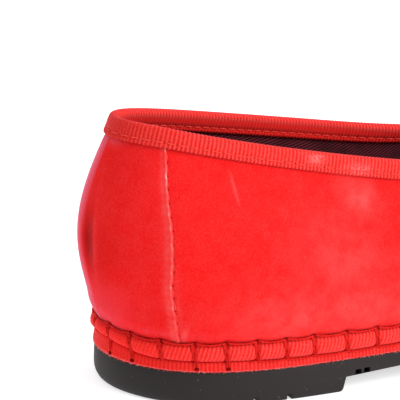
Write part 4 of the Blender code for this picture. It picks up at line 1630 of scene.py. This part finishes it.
def make_cords(sizes, colours):
    """Twisted cord that lies along the feather between the stitches, and the cord below."""
    cords = Bundle()
    radius = sizes.cord_thread / 2.0
    shares = np.arange(CORD_POINTS) / CORD_POINTS
    away, part = to_stitch(shares)
    sag = np.sin(part * math.pi)
    dive = bell(away, 0.0008)
    plan_out = on_outline(shares, 0.001) - on_outline(shares, 0.0)
    outs = unit(np.column_stack([plan_out, np.zeros(CORD_POINTS)]))
    top = band_face(shares, 1.0, FEATHER_PROUD + radius * 2.0 - 0.0006 * dive)
    top[:, 2] += 0.0006 - 0.0005 * sag
    for path in twisted(top, outs, radius, sizes.cord_twist):
        cords.tube(path, radius, 6, closed=True)
    low = band_face(shares, 0.0, radius * 2.4 - 0.0004 * dive)
    low[:, 2] += 0.0001 - 0.0004 * sag
    keep = np.abs(from_back(shares)) > sizes.lower_cord_start
    for path in twisted(low, outs, radius * 0.9, sizes.cord_twist):
        cords.tube(path[keep], radius * 0.8, 6)
    show("welt_cords", cords.mesh("welt_cords"), thread_material(colours.thread, "red_cord"))


def area_light(name, place, aim, size, power):
    """Soft square lamp that faces a point."""
    data = bpy.data.lights.new(name, "AREA")
    data.shape = "SQUARE"
    data.size = size
    data.energy = power
    lamp = bpy.data.objects.new(name, data)
    lamp.location = place
    lamp.rotation_mode = "QUATERNION"
    lamp.rotation_quaternion = (Vector(aim) - Vector(place)).to_track_quat("-Z", "Y")
    bpy.context.scene.collection.objects.link(lamp)


def set_camera(view):
    """Camera at the photograph's angle, slightly rolled, close behind the outer side."""
    azimuth = math.radians(view.azimuth)
    height = math.radians(view.elevation)
    back = Vector((math.sin(azimuth) * math.cos(height), -math.cos(azimuth) * math.cos(height),
                   math.sin(height)))
    right = Vector((math.cos(azimuth), math.sin(azimuth), 0.0))
    up = back.cross(right)
    roll = math.radians(view.roll)
    right, up = (right * math.cos(roll) + up * math.sin(roll),
                 up * math.cos(roll) - right * math.sin(roll))
    aim = Vector(PLACE) + Vector(view.aim)
    data = bpy.data.cameras.new("photo_camera")
    data.sensor_width = SENSOR_WIDTH
    data.lens = view.lens
    data.clip_start = 0.01
    data.clip_end = 50.0
    camera = bpy.data.objects.new("photo_camera", data)
    turn = Matrix((right, up, back)).transposed()
    camera.matrix_world = Matrix.Translation(aim + back * view.distance) @ turn.to_4x4()
    bpy.context.scene.collection.objects.link(camera)
    bpy.context.scene.camera = camera


def make_floor(colours):
    """Pale floor on which the shoe stands."""
    mesh = bpy.data.meshes.new("studio_floor")
    signs = ((-1, -1), (1, -1), (1, 1), (-1, 1))
    corners = [(x * FLOOR_HALF, y * FLOOR_HALF, 0.0) for x, y in signs]
    mesh.from_pydata(corners, [], [(0, 1, 2, 3)])
    mesh.materials.append(floor_material(colours))
    floor = bpy.data.objects.new("studio_floor", mesh)
    bpy.context.scene.collection.objects.link(floor)


def make_light(light):
    """Even white surroundings with large lamps at the side, above and behind."""
    world = bpy.data.worlds.new("studio_air")
    bpy.context.scene.world = world
    world.use_nodes = True
    air = world.node_tree.nodes["Background"]
    air.inputs["Color"].default_value = (1.0, 1.0, 1.0, 1.0)
    air.inputs["Strength"].default_value = light.surround
    for name, place, aim, size, setting in LAMPS:
        area_light(name, place, aim, size, getattr(light, setting))
    bpy.context.scene.view_settings.view_transform = "Standard"


class SlipperSizes(bpy.types.PropertyGroup):
    """Sizes of the fine details."""

    rib_pitch: FloatProperty(
        name="Rib pitch", description="Distance between two ribs of the grosgrain",
        default=0.00124, min=0.0008, max=0.003, unit="LENGTH")
    rib_height: FloatProperty(
        name="Rib height", description="How far a rib stands out",
        default=0.00020, min=0.0, max=0.0005, unit="LENGTH")
    rib_slant: FloatProperty(
        name="Rib slant", description="Slant of the band's ribs, in ribs over its height",
        default=-1.1, min=-3.0, max=3.0)
    scallop: FloatProperty(
        name="Scallop", description="Depth of the scallops along a ribbon's edge",
        default=0.00025, min=0.0, max=0.0006, unit="LENGTH")
    tape_stitch: FloatProperty(
        name="Tape stitch", description="Length of one stitch of the collar tape",
        default=0.0034, min=0.002, max=0.006, unit="LENGTH")
    tape_stitch_share: FloatProperty(
        name="Tape stitch place", description="Place of the stitch row down the tape",
        default=0.70, min=0.3, max=0.9, subtype="FACTOR")
    stitch_press: FloatProperty(
        name="Stitch press", description="How deep the stitch row presses the tape",
        default=0.00022, min=0.0, max=0.0005, unit="LENGTH")
    stitch_fill: FloatProperty(
        name="Stitch fill", description="Share of the stitch length that its thread covers",
        default=0.86, min=0.3, max=0.95, subtype="FACTOR")
    sewing_thread: FloatProperty(
        name="Sewing thread", description="Thickness of the sewing thread",
        default=0.00042, min=0.0002, max=0.001, unit="LENGTH")
    needle_hole: FloatProperty(
        name="Needle hole", description="Width of a needle hole in the velvet",
        default=0.00030, min=0.0001, max=0.001, unit="LENGTH")
    thread_hole: FloatProperty(
        name="Thread hole", description="Half width of the dark slit at a blanket stitch",
        default=0.0009, min=0.0003, max=0.002, unit="LENGTH")
    counter_stitch: FloatProperty(
        name="Counter stitch", description="Length of one stitch of the counter seam",
        default=0.0041, min=0.002, max=0.008, unit="LENGTH")
    back_seam_width: FloatProperty(
        name="Back seam width", description="Half width of the back seam's valley",
        default=0.0013, min=0.0005, max=0.004, unit="LENGTH")
    back_seam_depth: FloatProperty(
        name="Back seam depth", description="Depth of the back seam's valley",
        default=0.00085, min=0.0, max=0.0009, unit="LENGTH")
    cloth_wave: FloatProperty(
        name="Cloth wave", description="Height of the velvet's soft unevenness",
        default=0.00035, min=0.0, max=0.001, unit="LENGTH")
    blanket_thread: FloatProperty(
        name="Blanket thread", description="Thickness of the blanket stitch thread",
        default=0.00056, min=0.0003, max=0.0015, unit="LENGTH")
    stitch_lean: FloatProperty(
        name="Stitch lean", description="How far a blanket stitch leans over the band's height",
        default=0.0012, min=-0.004, max=0.004, unit="LENGTH")
    cord_thread: FloatProperty(
        name="Cord thread", description="Thickness of one strand of the cord",
        default=0.00034, min=0.0002, max=0.0012, unit="LENGTH")
    cord_twist: FloatProperty(
        name="Cord twist", description="Length of one turn of the cord",
        default=0.0024, min=0.001, max=0.006, unit="LENGTH")
    lower_cord_start: FloatProperty(
        name="Lower cord start", description="Distance from the back seam where it begins",
        default=0.050, min=0.0, max=0.2, unit="LENGTH")
    footbed_dish: FloatProperty(
        name="Footbed dish", description="Depth of the footbed's hollow",
        default=0.0012, min=0.0, max=0.0018, unit="LENGTH")
    hair_spacing: FloatProperty(
        name="Hair spacing", description="Distance between loose hairs at the wrap's edge",
        default=0.00045, min=0.0002, max=0.005, unit="LENGTH")
    hair_length: FloatProperty(
        name="Hair length", description="Length of the longest loose hair",
        default=0.0008, min=0.0001, max=0.003, unit="LENGTH")
    hair_thickness: FloatProperty(
        name="Hair thickness", description="Thickness of a loose hair",
        default=0.00011, min=0.00003, max=0.0005, unit="LENGTH")
    straw_spacing: FloatProperty(
        name="Straw spacing", description="Groove length for each straw fleck",
        default=0.0065, min=0.003, max=0.05, unit="LENGTH")


class SlipperColours(bpy.types.PropertyGroup):
    """Colours of the finishes."""

    velvet: FloatVectorProperty(
        name="Velvet", description="Colour of the pile", subtype="COLOR",
        default=(0.78, 0.0105, 0.0105), min=0.0, max=1.0)
    # Also the colour of the painted highlight on the grosgrain's crests and of the painted
    # highlight and sheen on the velvet
    pale_pile: FloatVectorProperty(
        name="Rubbed pile", description="Colour of rubbed pile and frayed edges",
        subtype="COLOR", default=(0.95, 0.17, 0.17), min=0.0, max=1.0)
    sheen: FloatVectorProperty(
        name="Sheen", description="Colour of the pile at grazing light", subtype="COLOR",
        default=(0.95, 0.42, 0.56), min=0.0, max=1.0)
    grosgrain: FloatVectorProperty(
        name="Grosgrain", description="Colour of the tapes", subtype="COLOR",
        default=(0.78, 0.020, 0.012), min=0.0, max=1.0)
    thread: FloatVectorProperty(
        name="Thread", description="Colour of the blanket stitches and cords", subtype="COLOR",
        default=(0.76, 0.014, 0.010), min=0.0, max=1.0)
    seam_thread: FloatVectorProperty(
        name="Seam thread", description="Colour of the seams' stitches", subtype="COLOR",
        default=(0.90, 0.060, 0.045), min=0.0, max=1.0)
    # Painted sheen: colour of the pink sheen painted by the back seam, also of the fuzz tufts at
    # the foot
    bloom: FloatVectorProperty(
        name="Painted sheen and tufts", description="Colour of the painted sheen by the back seam and of the tufts at the foot",
        subtype="COLOR", default=(0.70, 0.085, 0.130), min=0.0, max=1.0)
    fray: FloatVectorProperty(
        name="Fray", description="Colour of the loose fibre ends", subtype="COLOR",
        default=(0.98, 0.46, 0.42), min=0.0, max=1.0)
    shade: FloatVectorProperty(
        name="Hole", description="Colour inside the needle holes", subtype="COLOR",
        default=(0.20, 0.005, 0.005), min=0.0, max=1.0)
    lining: FloatVectorProperty(
        name="Lining", description="Colour of the twill lining", subtype="COLOR",
        default=(0.078, 0.0075, 0.012), min=0.0, max=1.0)
    rubber: FloatVectorProperty(
        name="Rubber", description="Colour of the outsole", subtype="COLOR",
        default=(0.0125, 0.0100, 0.0100), min=0.0, max=1.0)
    straw: FloatVectorProperty(
        name="Straw", description="Colour of the flecks in the tread", subtype="COLOR",
        default=(0.62, 0.42, 0.24), min=0.0, max=1.0)
    floor: FloatVectorProperty(
        name="Floor", description="Colour of the floor", subtype="COLOR",
        default=(0.76, 0.76, 0.76), min=0.0, max=1.0)


class SlipperView(bpy.types.PropertyGroup):
    """Camera and lamps."""

    azimuth: FloatProperty(
        name="Azimuth", description="Camera's turn round the shoe, degrees",
        default=-29.33, min=-180.0, max=180.0)
    elevation: FloatProperty(
        name="Elevation", description="Camera's height angle, degrees",
        default=15.66, min=-20.0, max=90.0)
    roll: FloatProperty(
        name="Roll", description="Camera's roll, degrees", default=2.10, min=-30.0, max=30.0)
    distance: FloatProperty(
        name="Distance", description="Camera's distance from the point it faces",
        default=0.6587, min=0.2, max=3.0, unit="LENGTH")
    lens: FloatProperty(
        name="Lens", description="Focal length, millimetres", default=205.09, min=20.0, max=400.0)
    aim: FloatVectorProperty(
        name="Aim", description="Point that the camera faces, from the back of the sole",
        default=(0.0133, -0.033, 0.066), subtype="XYZ", unit="LENGTH")
    surround: FloatProperty(
        name="Surround", description="Strength of the even light", default=0.56, min=0.0, max=5.0)
    key: FloatProperty(
        name="Key lamp", description="Power of the lamp at the side", default=15.0, min=0.0,
        max=200.0, unit="POWER")
    top: FloatProperty(
        name="Top lamp", description="Power of the lamp above", default=6.0, min=0.0, max=200.0,
        unit="POWER")
    rim: FloatProperty(
        name="Back lamp", description="Power of the lamp behind", default=1.2, min=0.0,
        max=200.0, unit="POWER")


def chosen(context):
    """Sizes and colours that the user has set."""
    return context.scene.slipper_sizes, context.scene.slipper_colours


class SLIPPER_OT_upper(bpy.types.Operator):
    """Make the velvet upper and its lining"""

    bl_idname = "slipper.upper"
    bl_label = "Velvet upper"

    def execute(self, context):
        make_velvet(*chosen(context))
        make_lining(context.scene.slipper_colours)
        return {"FINISHED"}


class SLIPPER_OT_collar(bpy.types.Operator):
    """Make the grosgrain tape of the collar and its stitch rows"""

    bl_idname = "slipper.collar"
    bl_label = "Collar tape"

    def execute(self, context):
        make_tape(*chosen(context))
        make_tape_stitches(*chosen(context))
        return {"FINISHED"}


class SLIPPER_OT_seams(bpy.types.Operator):
    """Sew the heel counter's seams"""

    bl_idname = "slipper.seams"
    bl_label = "Counter seams"

    def execute(self, context):
        make_seam_stitches(*chosen(context))
        return {"FINISHED"}


class SLIPPER_OT_band(bpy.types.Operator):
    """Make the padded band and the ribbon wrapped round the midsole"""

    bl_idname = "slipper.band"
    bl_label = "Band and wrap"

    def execute(self, context):
        make_band(*chosen(context))
        make_wrap(*chosen(context))
        make_frayed_edge(*chosen(context))
        make_core()
        return {"FINISHED"}


class SLIPPER_OT_blanket(bpy.types.Operator):
    """Sew the blanket stitches and lay the cords"""

    bl_idname = "slipper.blanket"
    bl_label = "Blanket stitches"

    def execute(self, context):
        make_blanket_stitches(*chosen(context))
        make_cords(*chosen(context))
        return {"FINISHED"}


class SLIPPER_OT_footbed(bpy.types.Operator):
    """Make the footbed"""

    bl_idname = "slipper.footbed"
    bl_label = "Footbed"

    def execute(self, context):
        make_footbed(*chosen(context))
        return {"FINISHED"}


class SLIPPER_OT_outsole(bpy.types.Operator):
    """Make the rubber outsole and the straw flecks in its tread"""

    bl_idname = "slipper.outsole"
    bl_label = "Outsole"

    def execute(self, context):
        make_outsole(context.scene.slipper_colours)
        make_straw(*chosen(context))
        return {"FINISHED"}


class SLIPPER_OT_stage(bpy.types.Operator):
    """Set up the floor, the light and the camera"""

    bl_idname = "slipper.stage"
    bl_label = "Stage"

    def execute(self, context):
        make_floor(context.scene.slipper_colours)
        make_light(context.scene.slipper_view)
        set_camera(context.scene.slipper_view)
        return {"FINISHED"}


PIECES = ("upper", "collar", "seams", "band", "blanket", "footbed", "outsole", "stage")


class SLIPPER_PT_pieces(bpy.types.Panel):
    """Lists the pieces and their sizes in the sidebar"""

    bl_idname = "SLIPPER_PT_pieces"
    bl_label = "Velvet slipper"
    bl_space_type = "VIEW_3D"
    bl_region_type = "UI"
    bl_category = "Slipper"

    def draw(self, context):
        for name in PIECES:
            self.layout.operator("slipper." + name)
        for group in ("slipper_sizes", "slipper_colours", "slipper_view"):
            box = self.layout.box()
            settings = getattr(context.scene, group)
            for key in settings.__annotations__:
                box.prop(settings, key)


CLASSES = (
    SlipperSizes, SlipperColours, SlipperView,
    SLIPPER_OT_upper, SLIPPER_OT_collar, SLIPPER_OT_seams, SLIPPER_OT_band, SLIPPER_OT_blanket,
    SLIPPER_OT_footbed, SLIPPER_OT_outsole, SLIPPER_OT_stage, SLIPPER_PT_pieces,
)


def register():
    """Registers the classes and their settings."""
    for item in CLASSES:
        bpy.utils.register_class(item)
    bpy.types.Scene.slipper_sizes = PointerProperty(type=SlipperSizes)
    bpy.types.Scene.slipper_colours = PointerProperty(type=SlipperColours)
    bpy.types.Scene.slipper_view = PointerProperty(type=SlipperView)


def unregister():
    """Removes the settings and the classes."""
    del bpy.types.Scene.slipper_view
    del bpy.types.Scene.slipper_colours
    del bpy.types.Scene.slipper_sizes
    for item in reversed(CLASSES):
        bpy.utils.unregister_class(item)


def main():
    """Makes every piece and the stage."""
    register()
    for name in PIECES:
        getattr(bpy.ops.slipper, name)()


if __name__ == "__main__":
    main()
